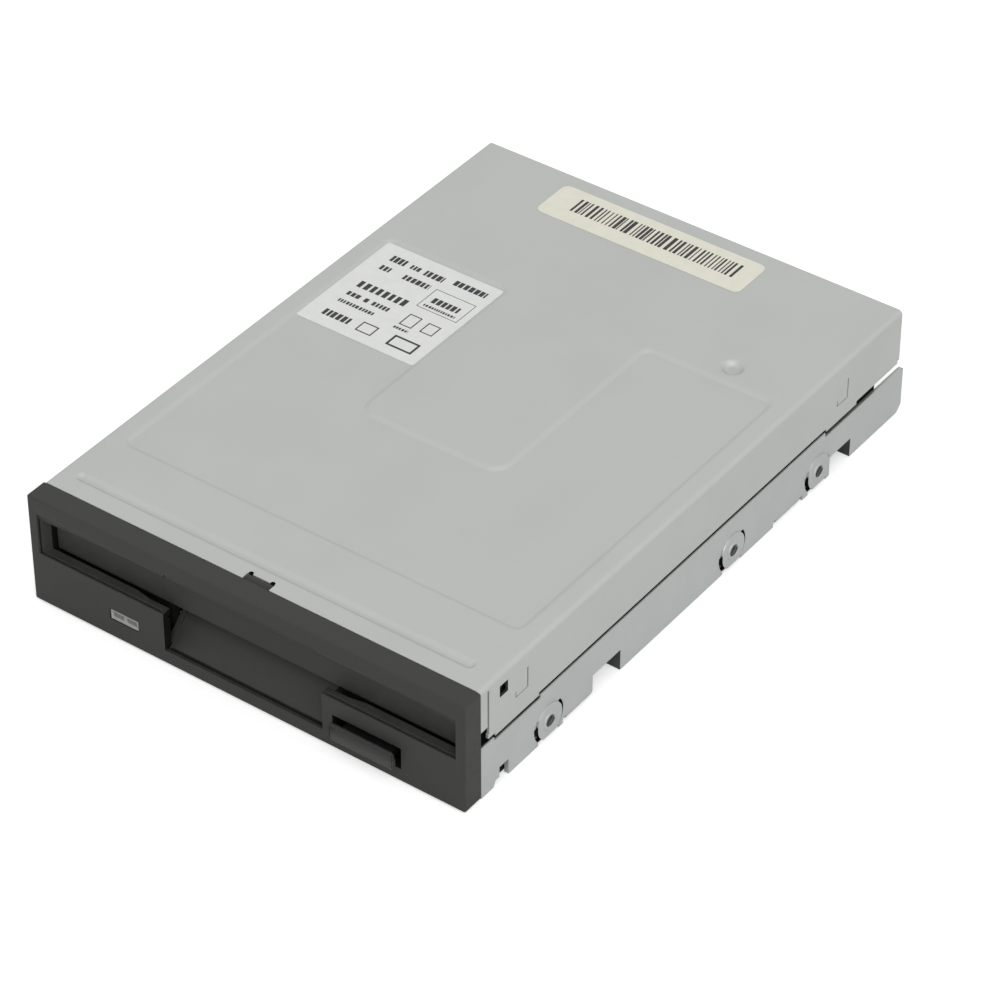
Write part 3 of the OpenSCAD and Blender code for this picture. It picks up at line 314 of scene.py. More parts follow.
def apply_modifier(thing: Thing, kind: str, **settings: object) -> None:
    """Gives a piece one modifier and applies it.

    Args:
        thing: The piece.
        kind: The modifier's type.
        **settings: The modifier's own settings.
    """
    take(thing)
    modifier = thing.modifiers.new(kind.lower(), kind)
    for key, value in settings.items():
        setattr(modifier, key, value)
    bpy.ops.object.modifier_apply(modifier=modifier.name)


def join(first: Thing, *others: Thing) -> Thing:
    """Joins pieces into the first one.

    Args:
        first: The piece that keeps its name.
        *others: The pieces that go into it.

    Returns:
        The first piece.
    """
    take(first)
    for thing in others:
        thing.select_set(True)
    bpy.ops.object.join()
    return first


def carve(thing: Thing, *cutters: Thing, operation: str = "DIFFERENCE") -> None:
    """Cuts shapes out of a piece, or fuses them to it, and clears the shapes away.

    Args:
        thing: The piece.
        *cutters: The shapes.
        operation: DIFFERENCE to cut, UNION to fuse.
    """
    for cutter in cutters:
        apply_modifier(thing, "BOOLEAN", operation=operation, solver="EXACT", object=cutter)
        bpy.data.objects.remove(cutter)


def soften(thing: Thing, width: float, segments: int = 2, angle: float = 40) -> None:
    """Rounds a piece's sharp edges and shades the rest smooth.

    Args:
        thing: The piece.
        width: Width of the rounding in millimetres, or 0 for none.
        segments: Steps across the rounding.
        angle: Edges that turn more than this many degrees are sharp.
    """
    if width:
        apply_modifier(thing, "BEVEL", width=width * MM, segments=segments, limit_method="ANGLE",
                       angle_limit=math.radians(angle), use_clamp_overlap=False, miter_outer="MITER_ARC")
    take(thing)
    bpy.ops.object.shade_smooth_by_angle(angle=math.radians(SMOOTH_ANGLE))
    apply_modifier(thing, "WEIGHTED_NORMAL", keep_sharp=True)


def merged_copy(node: str, name: str) -> Thing:
    """Copies a node's solid and merges its loose triangles into clean faces.

    Args:
        node: The node.
        name: Name of the copy.

    Returns:
        The copy, at the node's place.
    """
    thing = bpy.data.objects.new(name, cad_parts[node].data.copy())
    bpy.context.scene.collection.objects.link(thing)
    with open_mesh(thing):
        bpy.ops.mesh.select_all(action="SELECT")
        bpy.ops.mesh.remove_doubles(threshold=WELD * MM)
        bpy.ops.mesh.dissolve_limited(angle_limit=math.radians(FLAT_ANGLE))
    return thing


def copies_of(thing: Thing, shifts: list[Vector]) -> list[Thing]:
    """Copies a modelled piece to new places and clears the first one away.

    Args:
        thing: The piece.
        shifts: How far each copy lies from it.

    Returns:
        The copies, each with a mesh of its own.
    """
    copies = []
    for shift in shifts:
        copy = thing.copy()
        copy.data = thing.data.copy()
        bpy.context.scene.collection.objects.link(copy)
        take(copy)
        copy.location += shift
        bpy.ops.object.transform_apply(location=True, rotation=True, scale=True)
        copies.append(copy)
    bpy.data.objects.remove(thing)
    return copies


def hand_over(thing: Thing, body: str, slot: str, *nodes: str) -> Thing:
    """Puts a finished piece on its body.

    Args:
        thing: The piece.
        body: The body that it rides on.
        slot: The record's material slot that it takes its finish from; not used.
        *nodes: The nodes that it stands for.

    Returns:
        The piece.
    """
    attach(thing, body)
    if nodes:
        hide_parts(*nodes)
    log.info("%s rides on %s with %d faces", thing.name, body, len(thing.data.polygons))
    return thing


# Shader graphs and the effects that finishes share


class Graph:
    """Builds a node tree one node at a time."""

    def __init__(self, tree: bpy.types.NodeTree) -> None:
        """Starts on an empty tree."""
        self.tree = tree
        tree.nodes.clear()

    def add(self, kind: str, inputs: dict[str | int, object] | None = None, **settings: object) -> bpy.types.Node:
        """Adds a node.

        Args:
            kind: The node's type without its ShaderNode prefix.
            inputs: Values, colours or sockets for its inputs, by name or number.
            **settings: The node's own settings.

        Returns:
            The node.
        """
        node = self.tree.nodes.new(kind if kind.startswith("NodeGroup") else "ShaderNode" + kind)
        for key, value in settings.items():
            setattr(node, key, value)
        for key, value in (inputs or {}).items():
            if isinstance(value, Socket):
                self.tree.links.new(value, node.inputs[key])
            else:
                node.inputs[key].default_value = value
        return node

    def math(self, operation: str, *values: float | Socket, clamp: bool = False) -> Socket:
        """Adds a math node and returns its value."""
        return self.add("Math", dict(enumerate(values)), operation=operation, use_clamp=clamp).outputs[0]

    def mix(self, factor: float | Socket, low: object, high: object) -> Socket:
        """Adds a colour mix and returns its colour."""
        low, high = (c if isinstance(c, Socket) else (*c, 1.0) for c in (low, high))
        return self.add("Mix", {0: factor, 6: low, 7: high}, data_type="RGBA").outputs[2]

    def ramp(self, value: Socket, low: float, high: float, out: Span = (0.0, 1.0)) -> Socket:
        """Adds a smooth step from low to high and returns its value."""
        node = self.add("MapRange", {0: value, 1: low, 2: high, 3: out[0], 4: out[1]},
                        interpolation_type="SMOOTHSTEP")
        return node.outputs[0]

    def noise(self, place: Socket, scale: float | Socket, detail: float = 2.0) -> Socket:
        """Adds noise in the object's own space and returns its value."""
        return self.add("TexNoise", {"Vector": place, "Scale": scale, "Detail": detail}).outputs[0]

    def place(self) -> Socket:
        """Adds the object's own coordinates."""
        return self.add("TexCoord").outputs["Object"]

    def group(self, group: bpy.types.NodeTree, **inputs: object) -> bpy.types.Node:
        """Places a shared effect with its own values."""
        return self.add("Group", inputs, node_tree=group)


def effect(name: str, inputs: dict[str, float], outputs: dict[str, str]) -> tuple[Graph, bpy.types.Node]:
    """Starts a shared effect.

    Args:
        name: Name of the node group.
        inputs: Its float inputs and their defaults.
        outputs: Its outputs, each Float or Vector.

    Returns:
        The effect's graph and the node that holds its inputs.
    """
    tree = bpy.data.node_groups.new(name, "ShaderNodeTree")
    graph = Graph(tree)
    for label, value in inputs.items():
        tree.interface.new_socket(label, in_out="INPUT", socket_type="NodeSocketFloat").default_value = value
    for label, kind in outputs.items():
        tree.interface.new_socket(label, in_out="OUTPUT", socket_type="NodeSocket" + kind)
    return graph, graph.add("NodeGroupInput")


def surface_grain() -> bpy.types.NodeTree:
    """Fine grain and broad mottling, with the grain drawn out along the sheet if asked.

    Returns:
        The node group, made on first use.
    """
    known = bpy.data.node_groups.get("surface_grain")
    if known:
        return known
    graph, given = effect("surface_grain", {"Fine": 4000.0, "Broad": 120.0, "Drawn": 1.0},
                          {"Height": "Float", "Mottle": "Float"})
    place = graph.place()
    drawn = graph.add("CombineXYZ", {0: 1.0, 1: given.outputs["Drawn"], 2: 1.0}).outputs[0]
    stretched = graph.add("VectorMath", {0: place, 1: drawn}, operation="MULTIPLY").outputs[0]
    fine = graph.noise(stretched, given.outputs["Fine"], 2.0)
    broad = graph.noise(place, given.outputs["Broad"], 4.0)
    fleck = graph.math("MULTIPLY_ADD", graph.math("SUBTRACT", fine, 0.5), 0.5, broad)
    graph.add("NodeGroupOutput", {"Height": fine, "Mottle": graph.ramp(fleck, 0.3, 0.7)})
    return graph.tree


def edge_wear() -> bpy.types.NodeTree:
    """Rounded edges for the light to catch, and a broken mask of the wear along them.

    Returns:
        The node group, made on first use.
    """
    known = bpy.data.node_groups.get("edge_wear")
    if known:
        return known
    graph, given = effect("edge_wear", {"Radius": 0.0002, "Broken": 900.0}, {"Wear": "Float", "Normal": "Vector"})
    rounded = graph.add("Bevel", {"Radius": given.outputs["Radius"]}, samples=6).outputs[0]
    flat = graph.add("NewGeometry").outputs["Normal"]
    same = graph.add("VectorMath", {0: rounded, 1: flat}, operation="DOT_PRODUCT").outputs["Value"]
    edge = graph.ramp(same, 0.995, 0.82)
    broken = graph.ramp(graph.noise(graph.place(), given.outputs["Broken"], 3.0), 0.35, 0.65)
    graph.add("NodeGroupOutput", {"Wear": graph.math("MULTIPLY", edge, broken), "Normal": rounded})
    return graph.tree


# Finishes


@dataclass(frozen=True)
class Finish:
    """A surface with grain, mottling and worn edges.

    Scales are in counts per millimetre and radii in millimetres.
    """

    name: str
    colour: Colour
    mottle: Colour
    worn: Colour
    rough: Span
    metallic: float = 0.0
    specular: float = 0.5
    fine: float = 4.0
    broad: float = 0.12
    drawn: float = 1.0
    bump: float = 0.15
    depth: float = 0.02
    edge: float = 0.2
    wear: float = 0.35

    def material(self) -> bpy.types.Material:
        """Builds the material, or returns it if it is known.

        Returns:
            The material.
        """
        known = bpy.data.materials.get("finish_" + self.name)
        if known:
            return known
        material = bpy.data.materials.new("finish_" + self.name)
        material.use_nodes = True
        graph = Graph(material.node_tree)
        grain = graph.group(surface_grain(), Fine=self.fine / MM, Broad=self.broad / MM, Drawn=self.drawn)
        edge = graph.group(edge_wear(), Radius=self.edge * MM)
        shader = graph.add("BsdfPrincipled", {"Metallic": self.metallic, "Specular IOR Level": self.specular})
        self.shade(graph, shader, grain, edge)
        graph.add("OutputMaterial", {"Surface": shader.outputs[0]})
        return material

    def tint(self, graph: Graph, grain: bpy.types.Node) -> Socket:
        """Returns the colour of the unworn surface."""
        return graph.mix(grain.outputs["Mottle"], self.colour, self.mottle)

    def relief(self, graph: Graph, grain: bpy.types.Node) -> Socket:
        """Returns the height of the surface's own relief."""
        return grain.outputs["Height"]

    def shade(self, graph: Graph, shader: bpy.types.Node, grain: bpy.types.Node, edge: bpy.types.Node) -> None:
        """Wires colour, roughness and relief into the shader.

        Args:
            graph: The material's graph.
            shader: Its shader.
            grain: The grain effect.
            edge: The edge effect.
        """
        links = graph.tree.links
        worn = graph.math("MULTIPLY", edge.outputs["Wear"], self.wear)
        links.new(graph.mix(worn, self.tint(graph, grain), self.worn), shader.inputs["Base Color"])
        rough = graph.ramp(grain.outputs["Mottle"], 0.0, 1.0, self.rough)
        links.new(rough, shader.inputs["Roughness"])
        bump = graph.add("Bump", {"Strength": self.bump, "Distance": self.depth * MM,
                                  "Height": self.relief(graph, grain), "Normal": edge.outputs["Normal"]})
        links.new(bump.outputs[0], shader.inputs["Normal"])


@dataclass(frozen=True)
class BoardFinish(Finish):
    """Solder mask over copper tracks that run in patches across and along the board."""

    pitch: float = 1.3
    tin: Colour = (0.55, 0.54, 0.5)

    def tracks(self, graph: Graph) -> Socket:
        """Draws the copper tracks.

        Args:
            graph: The material's graph.

        Returns:
            A mask of the tracks.
        """
        place = graph.place()
        patch = graph.add("TexVoronoi", {"Vector": place, "Scale": 0.09 / MM}).outputs["Color"]
        chance = graph.add("SeparateColor", {0: patch}).outputs
        turn = graph.math("GREATER_THAN", chance[0], 0.5)
        busy = graph.math("GREATER_THAN", chance[1], 0.3)
        masks = []
        for angle in (0.0, math.pi / 2):
            turned = graph.add("Mapping", {"Vector": place, "Rotation": (0.0, 0.0, angle)}).outputs[0]
            brick = graph.add("TexBrick", {
                "Vector": turned, "Scale": 1.0, "Mortar Size": 0.15 * MM, "Mortar Smooth": 0.1,
                "Brick Width": 17.0 * MM, "Row Height": self.pitch * MM}, offset=0.37)
            masks.append(brick.outputs["Fac"])
        first = graph.math("MULTIPLY", masks[0], turn)
        second = graph.math("MULTIPLY", masks[1], graph.math("SUBTRACT", 1.0, turn))
        return graph.math("MULTIPLY", graph.math("ADD", first, second, clamp=True), busy)

    def holes(self, graph: Graph) -> Socket:
        """Draws the tinned through holes.

        Args:
            graph: The material's graph.

        Returns:
            A mask of the holes.
        """
        cells = graph.add("TexVoronoi", {"Vector": graph.place(), "Scale": 0.3 / MM}, voronoi_dimensions="2D").outputs
        chosen = graph.math("GREATER_THAN", graph.add("SeparateColor", {0: cells["Color"]}).outputs[2], 0.72)
        return graph.math("MULTIPLY", graph.ramp(cells["Distance"], 0.13, 0.11), chosen)

    def tint(self, graph: Graph, grain: bpy.types.Node) -> Socket:
        """Colours the mask green, paler over the tracks.

        Args:
            graph: The material's graph.
            grain: The grain effect.

        Returns:
            The colour.
        """
        ground = graph.mix(grain.outputs["Mottle"], self.colour, self.mottle)
        masked = graph.mix(graph.math("MULTIPLY", self.tracks(graph), 0.75), ground, self.worn)
        return graph.mix(self.holes(graph), masked, self.tin)

    def relief(self, graph: Graph, grain: bpy.types.Node) -> Socket:
        """Returns the height of the tracks under the mask."""
        return self.tracks(graph)


@dataclass(frozen=True)
class PaintedLightFinish(Finish):
    """A surface with painted light: paler towards its lower edge, darker towards its top."""

    heights: Span = (4.0, 7.7)
    painted_light_low: Colour = (0.05, 0.05, 0.048)

    def tint(self, graph: Graph, grain: bpy.types.Node) -> Socket:
        """Colours the surface, paler low down as painted light.

        Args:
            graph: The material's graph.
            grain: The grain effect.

        Returns:
            The colour.
        """
        ground = graph.mix(grain.outputs["Mottle"], self.colour, self.mottle)
        height = graph.add("SeparateXYZ", {0: graph.place()}).outputs[2]
        return graph.mix(graph.ramp(height, self.heights[1] * MM, self.heights[0] * MM), ground, self.painted_light_low)


@dataclass(frozen=True)
class BandedFinish(Finish):
    """A surface with fine parallel bands, such as wound wire or a printed ribbon."""

    pitch: float = 0.5
    across: str = "X"
    dark: Colour = (0.1, 0.05, 0.02)

    def bands(self, graph: Graph) -> Socket:
        """Returns the height of the bands."""
        wave = graph.add("TexWave", {"Vector": graph.place(), "Scale": 0.314 / (self.pitch * MM)},
                         bands_direction=self.across)
        return wave.outputs["Fac"]

    def tint(self, graph: Graph, grain: bpy.types.Node) -> Socket:
        """Returns the surface's colour, darker between the bands."""
        ground = graph.mix(grain.outputs["Mottle"], self.colour, self.mottle)
        return graph.mix(graph.ramp(self.bands(graph), 0.45, 0.05), ground, self.dark)

    def relief(self, graph: Graph, grain: bpy.types.Node) -> Socket:
        """Returns the height of the bands."""
        return self.bands(graph)


CHARCOAL = Finish("charcoal", (0.032, 0.032, 0.0305), (0.037, 0.037, 0.035), (0.09, 0.09, 0.085),
                  (0.50, 0.60), specular=0.3, fine=5.5, broad=0.35, bump=0.22, depth=0.03, edge=0.22, wear=0.4)
# The button's face carries painted light: paler towards its lower edge
BUTTON_FACE = PaintedLightFinish("button_face", (0.014, 0.014, 0.0135), (0.018, 0.018, 0.017), (0.13, 0.13, 0.125),
                           (0.42, 0.52), specular=0.35, fine=5.5, broad=0.35, bump=0.15, edge=0.25, wear=0.7)
COVER_STEEL = Finish("cover_steel", (0.482, 0.500, 0.476), (0.470, 0.487, 0.463), (0.60, 0.61, 0.59),
                     (0.445, 0.47), metallic=0.35, fine=6.0, broad=0.06, drawn=0.35, bump=0.1, edge=0.15, wear=0.3)
CHASSIS_STEEL = Finish("chassis_steel", (0.470, 0.490, 0.480), (0.452, 0.472, 0.463), (0.62, 0.635, 0.625),
                       (0.38, 0.48), metallic=0.4, fine=6.0, broad=0.08, drawn=0.35, bump=0.1, edge=0.14, wear=0.3)
FINISHES: dict[str, Finish] = {
    "bezel_plastic": CHARCOAL,
    "cover_steel": COVER_STEEL,
    "chassis_steel": CHASSIS_STEEL,
    "spring_steel": Finish("spring_steel", (0.42, 0.42, 0.43), (0.32, 0.32, 0.34), (0.6, 0.6, 0.6),
                           (0.25, 0.38), metallic=1.0, fine=8.0, edge=0.05),
    "mechanism_steel": Finish("mechanism_steel", (0.55, 0.55, 0.53), (0.47, 0.47, 0.46), (0.7, 0.7, 0.69),
                              (0.30, 0.42), metallic=0.85, fine=6.0, drawn=0.3, edge=0.12),
    "lamp_plastic": Finish("lamp_plastic", (0.33, 0.335, 0.33), (0.27, 0.275, 0.27), (0.45, 0.45, 0.45),
                           (0.18, 0.3), fine=3.0, broad=0.8, edge=0.12, wear=0.4),
    "circuit_board": BoardFinish("circuit_board", (0.030, 0.125, 0.060), (0.024, 0.100, 0.050),
                                 (0.075, 0.235, 0.105), (0.28, 0.38), fine=3.0, bump=0.5, depth=0.04, edge=0.1),
    "white_label": Finish("white_paper", (0.74, 0.75, 0.725), (0.71, 0.72, 0.695), (0.8, 0.8, 0.79),
                          (0.55, 0.68), fine=9.0, broad=0.4, bump=0.12, edge=0.03, wear=0.2),
    "cream_label": Finish("cream_paper", (0.755, 0.74, 0.635), (0.725, 0.71, 0.605), (0.8, 0.79, 0.7),
                          (0.55, 0.68), fine=9.0, broad=0.4, bump=0.12, edge=0.03, wear=0.2),
    "pin_steel": Finish("pin_steel", (0.62, 0.62, 0.61), (0.54, 0.54, 0.54), (0.75, 0.75, 0.75),
                        (0.16, 0.26), metallic=1.0, fine=8.0, edge=0.08),
    "bearing_bronze": Finish("bearing_bronze", (0.50, 0.35, 0.16), (0.42, 0.28, 0.12), (0.66, 0.5, 0.26),
                             (0.30, 0.44), metallic=1.0, fine=7.0, bump=0.3, edge=0.12),
    "dark_magnet": Finish("dark_magnet", (0.075, 0.073, 0.072), (0.055, 0.054, 0.054), (0.2, 0.2, 0.2),
                          (0.42, 0.6), metallic=0.3, fine=5.0, bump=0.3, edge=0.12),
    "coil_copper": BandedFinish("coil_copper", (0.62, 0.22, 0.08), (0.52, 0.17, 0.06), (0.75, 0.35, 0.15),
                                (0.25, 0.35), metallic=0.85, bump=0.9, depth=0.08, edge=0.2, pitch=0.28,
                                across="DIAGONAL", dark=(0.16, 0.045, 0.015)),
    "screw_steel": Finish("screw_steel", (0.5, 0.49, 0.45), (0.42, 0.41, 0.38), (0.7, 0.7, 0.68),
                          (0.25, 0.36), metallic=1.0, fine=7.0, edge=0.1),
    "pale_plastic": Finish("pale_plastic", (0.74, 0.73, 0.68), (0.68, 0.67, 0.62), (0.8, 0.8, 0.77),
                           (0.42, 0.52), fine=5.0, broad=0.3, edge=0.15),
    "head_ceramic": Finish("head_ceramic", (0.12, 0.12, 0.125), (0.09, 0.09, 0.095), (0.3, 0.3, 0.3),
                           (0.12, 0.2), fine=9.0, edge=0.08),
    "flex_film": BandedFinish("flex_film", (0.52, 0.25, 0.05), (0.46, 0.21, 0.04), (0.6, 0.34, 0.1),
                              (0.2, 0.28), bump=0.4, edge=0.05, pitch=0.9, across="X", dark=(0.3, 0.12, 0.025)),
    "motor_steel": Finish("motor_steel", (0.56, 0.56, 0.55), (0.49, 0.49, 0.48), (0.72, 0.72, 0.72),
                          (0.22, 0.34), metallic=1.0, fine=6.0, drawn=0.25, edge=0.25),
    "chip_resin": Finish("chip_resin", (0.030, 0.030, 0.031), (0.024, 0.024, 0.025), (0.1, 0.1, 0.1),
                         (0.52, 0.66), fine=7.0, bump=0.35, edge=0.12),
    "capacitor_ceramic": Finish("capacitor_ceramic", (0.42, 0.31, 0.19), (0.36, 0.26, 0.15), (0.55, 0.45, 0.3),
                                (0.35, 0.48), fine=6.0, edge=0.12),
    "connector_black": Finish("connector_black", (0.028, 0.028, 0.029), (0.022, 0.022, 0.023), (0.1, 0.1, 0.1),
                              (0.45, 0.55), fine=5.0, bump=0.25, edge=0.15),
    "pin_gold": Finish("pin_gold", (0.74, 0.56, 0.24), (0.66, 0.49, 0.2), (0.85, 0.7, 0.4),
                       (0.18, 0.28), metallic=1.0, fine=8.0, edge=0.06),
}
# Bare steel of cut edges, darkened further as painted shade where they lie in the dark
RAW_CUT_AND_SHADE = Finish("raw_cut_and_shade", (0.075, 0.077, 0.076), (0.060, 0.062, 0.061), (0.2, 0.2, 0.2),
                 (0.45, 0.6), metallic=0.5, fine=7.0, broad=0.3, edge=0.08)
# Darker tone of the lamp guide's sunk prisms, painted shade for their recess
LAMP_PAINTED_SHADE = Finish("lamp_painted_shade", (0.16, 0.16, 0.155), (0.13, 0.13, 0.125), (0.35, 0.35, 0.34),
                    (0.2, 0.3), fine=3.0, broad=0.8, edge=0.1)
# Near-black painted shade, for faces and pieces that lie in deep shade inside the drive
PAINTED_SHADE = Finish("painted_shade", (0.006, 0.006, 0.006), (0.009, 0.009, 0.008), (0.02, 0.02, 0.02),
                   (0.75, 0.9), specular=0.08, fine=6.0, broad=0.4, edge=0.05)
LABEL_INK = Finish("label_ink", (0.030, 0.030, 0.034), (0.06, 0.06, 0.065), (0.1, 0.1, 0.1),
                   (0.6, 0.75), specular=0.25, fine=9.0, broad=1.2, bump=0.05, edge=0.01, wear=0.0)


def dress(thing: Thing, *finishes: Finish) -> None:
    """Gives a piece its finishes, one for each of its material slots.

    Args:
        thing: The piece.
        *finishes: The finishes, in the order of the slots.
    """
    thing.data.materials.clear()
    for finish in finishes:
        thing.data.materials.append(finish.material())


def dress_all(things: list[Thing], *finishes: Finish) -> None:
    """Gives several pieces the same finishes."""
    for thing in things:
        dress(thing, *finishes)


def dress_nodes() -> None:
    """Gives every node that stays in view the finish of its slot in the record."""
    for name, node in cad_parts.items():
        slot = next((s.material.name for s in node.material_slots if s.material), "")
        finish = FINISHES.get(slot.split(".")[0])
        if finish is None:
            log.warning("%s has no finish for slot %r", name, slot)
            continue
        for holder in node.material_slots:
            holder.material = finish.material()
        log.info("%s is dressed in %s", name, finish.name)


# Pieces


def ease(share: float) -> float:
    """Returns a smooth climb from 0 to 1."""
    return (1 - math.cos(math.pi * share)) / 2


def press(dish: Thing, slope: float, depth: float, steps: int = 5) -> None:
    """Presses a flat outline into the sheet with a soft slope round its edge.

    Args:
        dish: The flat outline.
        slope: Width of the slope in millimetres.
        depth: Depth of the dish in millimetres.
        steps: Rings across the slope.
    """
    with open_mesh(dish):
        pick_all(Part.FACE)
        for step in range(steps):
            drop = depth * (ease((step + 1) / steps) - ease(step / steps))
            bpy.ops.mesh.inset(thickness=slope / steps * MM, depth=-drop * MM)


def round_corners(outline: Thing, radius: float, segments: int = 8) -> None:
    """Rounds every corner of a flat outline.

    Args:
        outline: The outline.
        radius: Radius of the corners in millimetres.
        segments: Steps round each corner.
    """
    with open_mesh(outline):
        pick_all(Part.VERT)
        bpy.ops.mesh.bevel(offset=radius * MM, segments=segments, affect="VERTICES")


@dataclass
class TopCover:
    """The pressed sheet over the drive, with folded sides."""

    half: float = 50.4
    front: float = 4.9
    rear: float = 144.9
    top: float = 25.3
    sheet: float = 0.6
    fold: float = 1.0
    edge: float = 12.7
    panel_half: float = 46.0
    panel_front: float = 22.6
    panel_rear: float = 105.3
    tongue_half: float = 16.5
    tongue_front: float = 57.0
    panel_depth: float = 0.5
    panel_slope: float = 1.4
    panel_corner: float = 2.6
    groove_t: float = 10.1
    groove_half: float = 1.5
    groove_depth: float = 0.55
    groove_ends: Span = (-47.0, 45.7)
    dimple: Span = (33.6, 109.9)
    dimple_radius: float = 2.8
    dimple_depth: float = 1.0
    ears: Place = (2.5, 6.8, 0.5)
    notch: Span = (3.1, 6.7)
    flange_half: float = 44.0
    flange_rise: float = 5.0
    window: tuple[Span, Span] = ((-30.0, -10.0), (4.0, 8.0))
    front_cut: Span = (7.3, 2.9)
    front_slot: tuple[Span, Span] = ((7.1, 7.6), (1.0, 1.3))
    hole_t: Span = (10.75, 13.2)
    hole_drop: Span = (5.3, 2.7)
    seam_steps: tuple[tuple[Span, float], ...] = (
        ((6.9, 9.4), 0.0), ((9.3, 22.7), -0.7), ((22.7, 118.3), 0.0), ((118.2, 129.3), -0.75))
    seam_tail: float = 129.2
    latches: tuple[Span, ...] = ((15.5, 3.8), (121.8, 3.1))
    latch: tuple[tuple[Span, Span], ...] = (
        ((3.55, 3.9), (0.0, 4.8)), ((0.0, 3.7), (0.0, 0.25)), ((0.0, 0.25), (0.0, 1.4)))

    def panel(self) -> Thing:
        """Presses the large panel, which runs round a tongue at the rear.

        Returns:
            The panel's dish, open at its rim.
        """
        grow = self.panel_slope / 2
        inner = self.tongue_half - grow
        notch = self.tongue_front + grow
        dish = add_plane("panel", (-self.panel_half - grow, self.panel_half + grow),
                         (self.panel_front - grow, self.panel_rear + grow), self.top)
        with open_mesh(dish):
            for place, facing in ((at(-inner, 0, 0), (1, 0, 0)), (at(inner, 0, 0), (1, 0, 0)),
                                  (at(0, notch, 0), (0, 1, 0))):
                cut_through(place, facing)
            pick(Part.FACE, lambda p, n: abs(p.x) < inner and p.y > notch)
            bpy.ops.mesh.delete(type="FACE")
            bpy.ops.mesh.select_all(action="SELECT")
            bpy.ops.mesh.dissolve_faces()
            pick(Part.VERT, lambda p, n: (abs(p.x) < inner + 1 and p.y < notch - 1)
                 or (abs(p.x) > inner + 1 and abs(p.y - notch) < 1))
            bpy.ops.mesh.dissolve_verts()
        round_corners(dish, self.panel_corner)
        press(dish, self.panel_slope, self.panel_depth)
        return dish

    def groove(self) -> Thing:
        """Presses the stiffening groove along the front.

        Returns:
            The groove's dish, open at its rim.
        """
        dish = add_plane("groove", self.groove_ends,
                         (self.groove_t - self.groove_half, self.groove_t + self.groove_half), self.top)
        round_corners(dish, self.groove_half * 0.96, 10)
        press(dish, self.groove_half * 0.85, self.groove_depth, 6)
        return dish

    def dimple_dish(self) -> Thing:
        """Presses the round dimple near the rear.

        Returns:
            The dimple's dish, open at its rim.
        """
        dish = add_disc("dimple", at(*self.dimple, self.top), self.dimple_radius, 40)
        press(dish, self.dimple_radius * 0.62, self.dimple_depth, 6)
        return dish

    def top_sheet(self) -> Thing:
        """Fills the flat top round its pressed dishes.

        Returns:
            The sheet's outer face.
        """
        flat = self.half - self.fold
        sheet = add_plane("pressed_cover", (-flat, flat), (self.front, self.rear), self.top)
        with open_mesh(sheet):
            bpy.ops.mesh.select_all(action="SELECT")
            bpy.ops.mesh.delete(type="ONLY_FACE")
        join(sheet, self.panel(), self.groove(), self.dimple_dish())
        with open_mesh(sheet):
            bpy.ops.mesh.select_mode(type="EDGE")
            bpy.ops.mesh.select_all(action="DESELECT")
            bpy.ops.mesh.select_non_manifold(extend=False, use_multi_face=False, use_non_contiguous=False,
                                             use_verts=False)
            bpy.ops.mesh.fill(use_beauty=True)
        return sheet

    def fold_sides(self, sheet: Thing) -> None:
        """Folds a side down along each long edge of the sheet.

        Args:
            sheet: The sheet's outer face.
        """
        flat = self.half - self.fold
        bend = self.top - self.fold
        with open_mesh(sheet):
            for side in (-1, 1):
                pick(Part.EDGE, lambda p, n: abs(p.x - side * flat) < NEAR and abs(n.y) > ALONG)
                bpy.ops.mesh.spin(steps=6, angle=-side * math.pi / 2, center=at(side * flat, 0, bend),
                                  axis=(0, 1, 0))
                bpy.ops.mesh.extrude_region_move(
                    TRANSFORM_OT_translate={"value": (0, 0, (self.edge - 1 - bend) * MM)})
            bpy.ops.mesh.select_all(action="SELECT")
            bpy.ops.mesh.remove_doubles(threshold=0.001 * MM)
            face_out()
            if pick(Part.FACE, lambda p, n: n.z < -0.99 and p.z > self.top - NEAR):
                bpy.ops.mesh.select_all(action="SELECT")
                bpy.ops.mesh.flip_normals()

    def side_cuts(self) -> list[Thing]:
        """Makes the cutters that trim both sides alike.

        Returns:
            The cutters.
        """
        wide = (-self.half - 5, self.half + 5)
        edge, low = self.edge, self.edge - 3
        (back, rise), (slot, (above, below)) = self.front_cut, self.front_slot
        boxes = [((self.front - 1, back), (low, edge + rise)), (slot, (edge + above, self.top - below)),
                 (self.hole_t, (self.top - self.hole_drop[0], self.top - self.hole_drop[1]))]
        boxes += [(t, (low, edge + step)) for t, step in self.seam_steps]
        boxes += [((self.seam_tail, self.rear + 1), (low, edge)),
                  ((self.rear - 0.6, self.rear + 1), (low, edge + 0.7))]
        for t, rise in self.latches:
            for (near, far), (under, over) in self.latch:
                boxes.append(((t + near, t + far), (edge + rise + under, edge + rise + over)))
        return [add_box("cutter", wide, t, z) for t, z in boxes]

    def hole_edge(self, p: Vector, n: Vector) -> bool:
        """Tells the cut edges of the square holes in the sides, which get bare steel darkened with painted shade."""
        (front, rear), (low, high) = self.hole_t, self.hole_drop
        return (abs(n.x) < 0.3 and front - 0.15 < p.y < rear + 0.2 and low + 0.1 > self.top - p.z > high - 0.1
                and abs(p.x) > self.half - self.sheet - 0.1)

    def ear_wall(self, p: Vector, n: Vector) -> bool:
        """Tells the walls of the round ears in the front notch, which lie in the dark and get painted shade."""
        x, t, radius = self.ears
        return abs(n.z) < 0.3 and p.z > self.top - 1 and math.hypot(abs(p.x) - x, p.y - t) < radius + 0.05

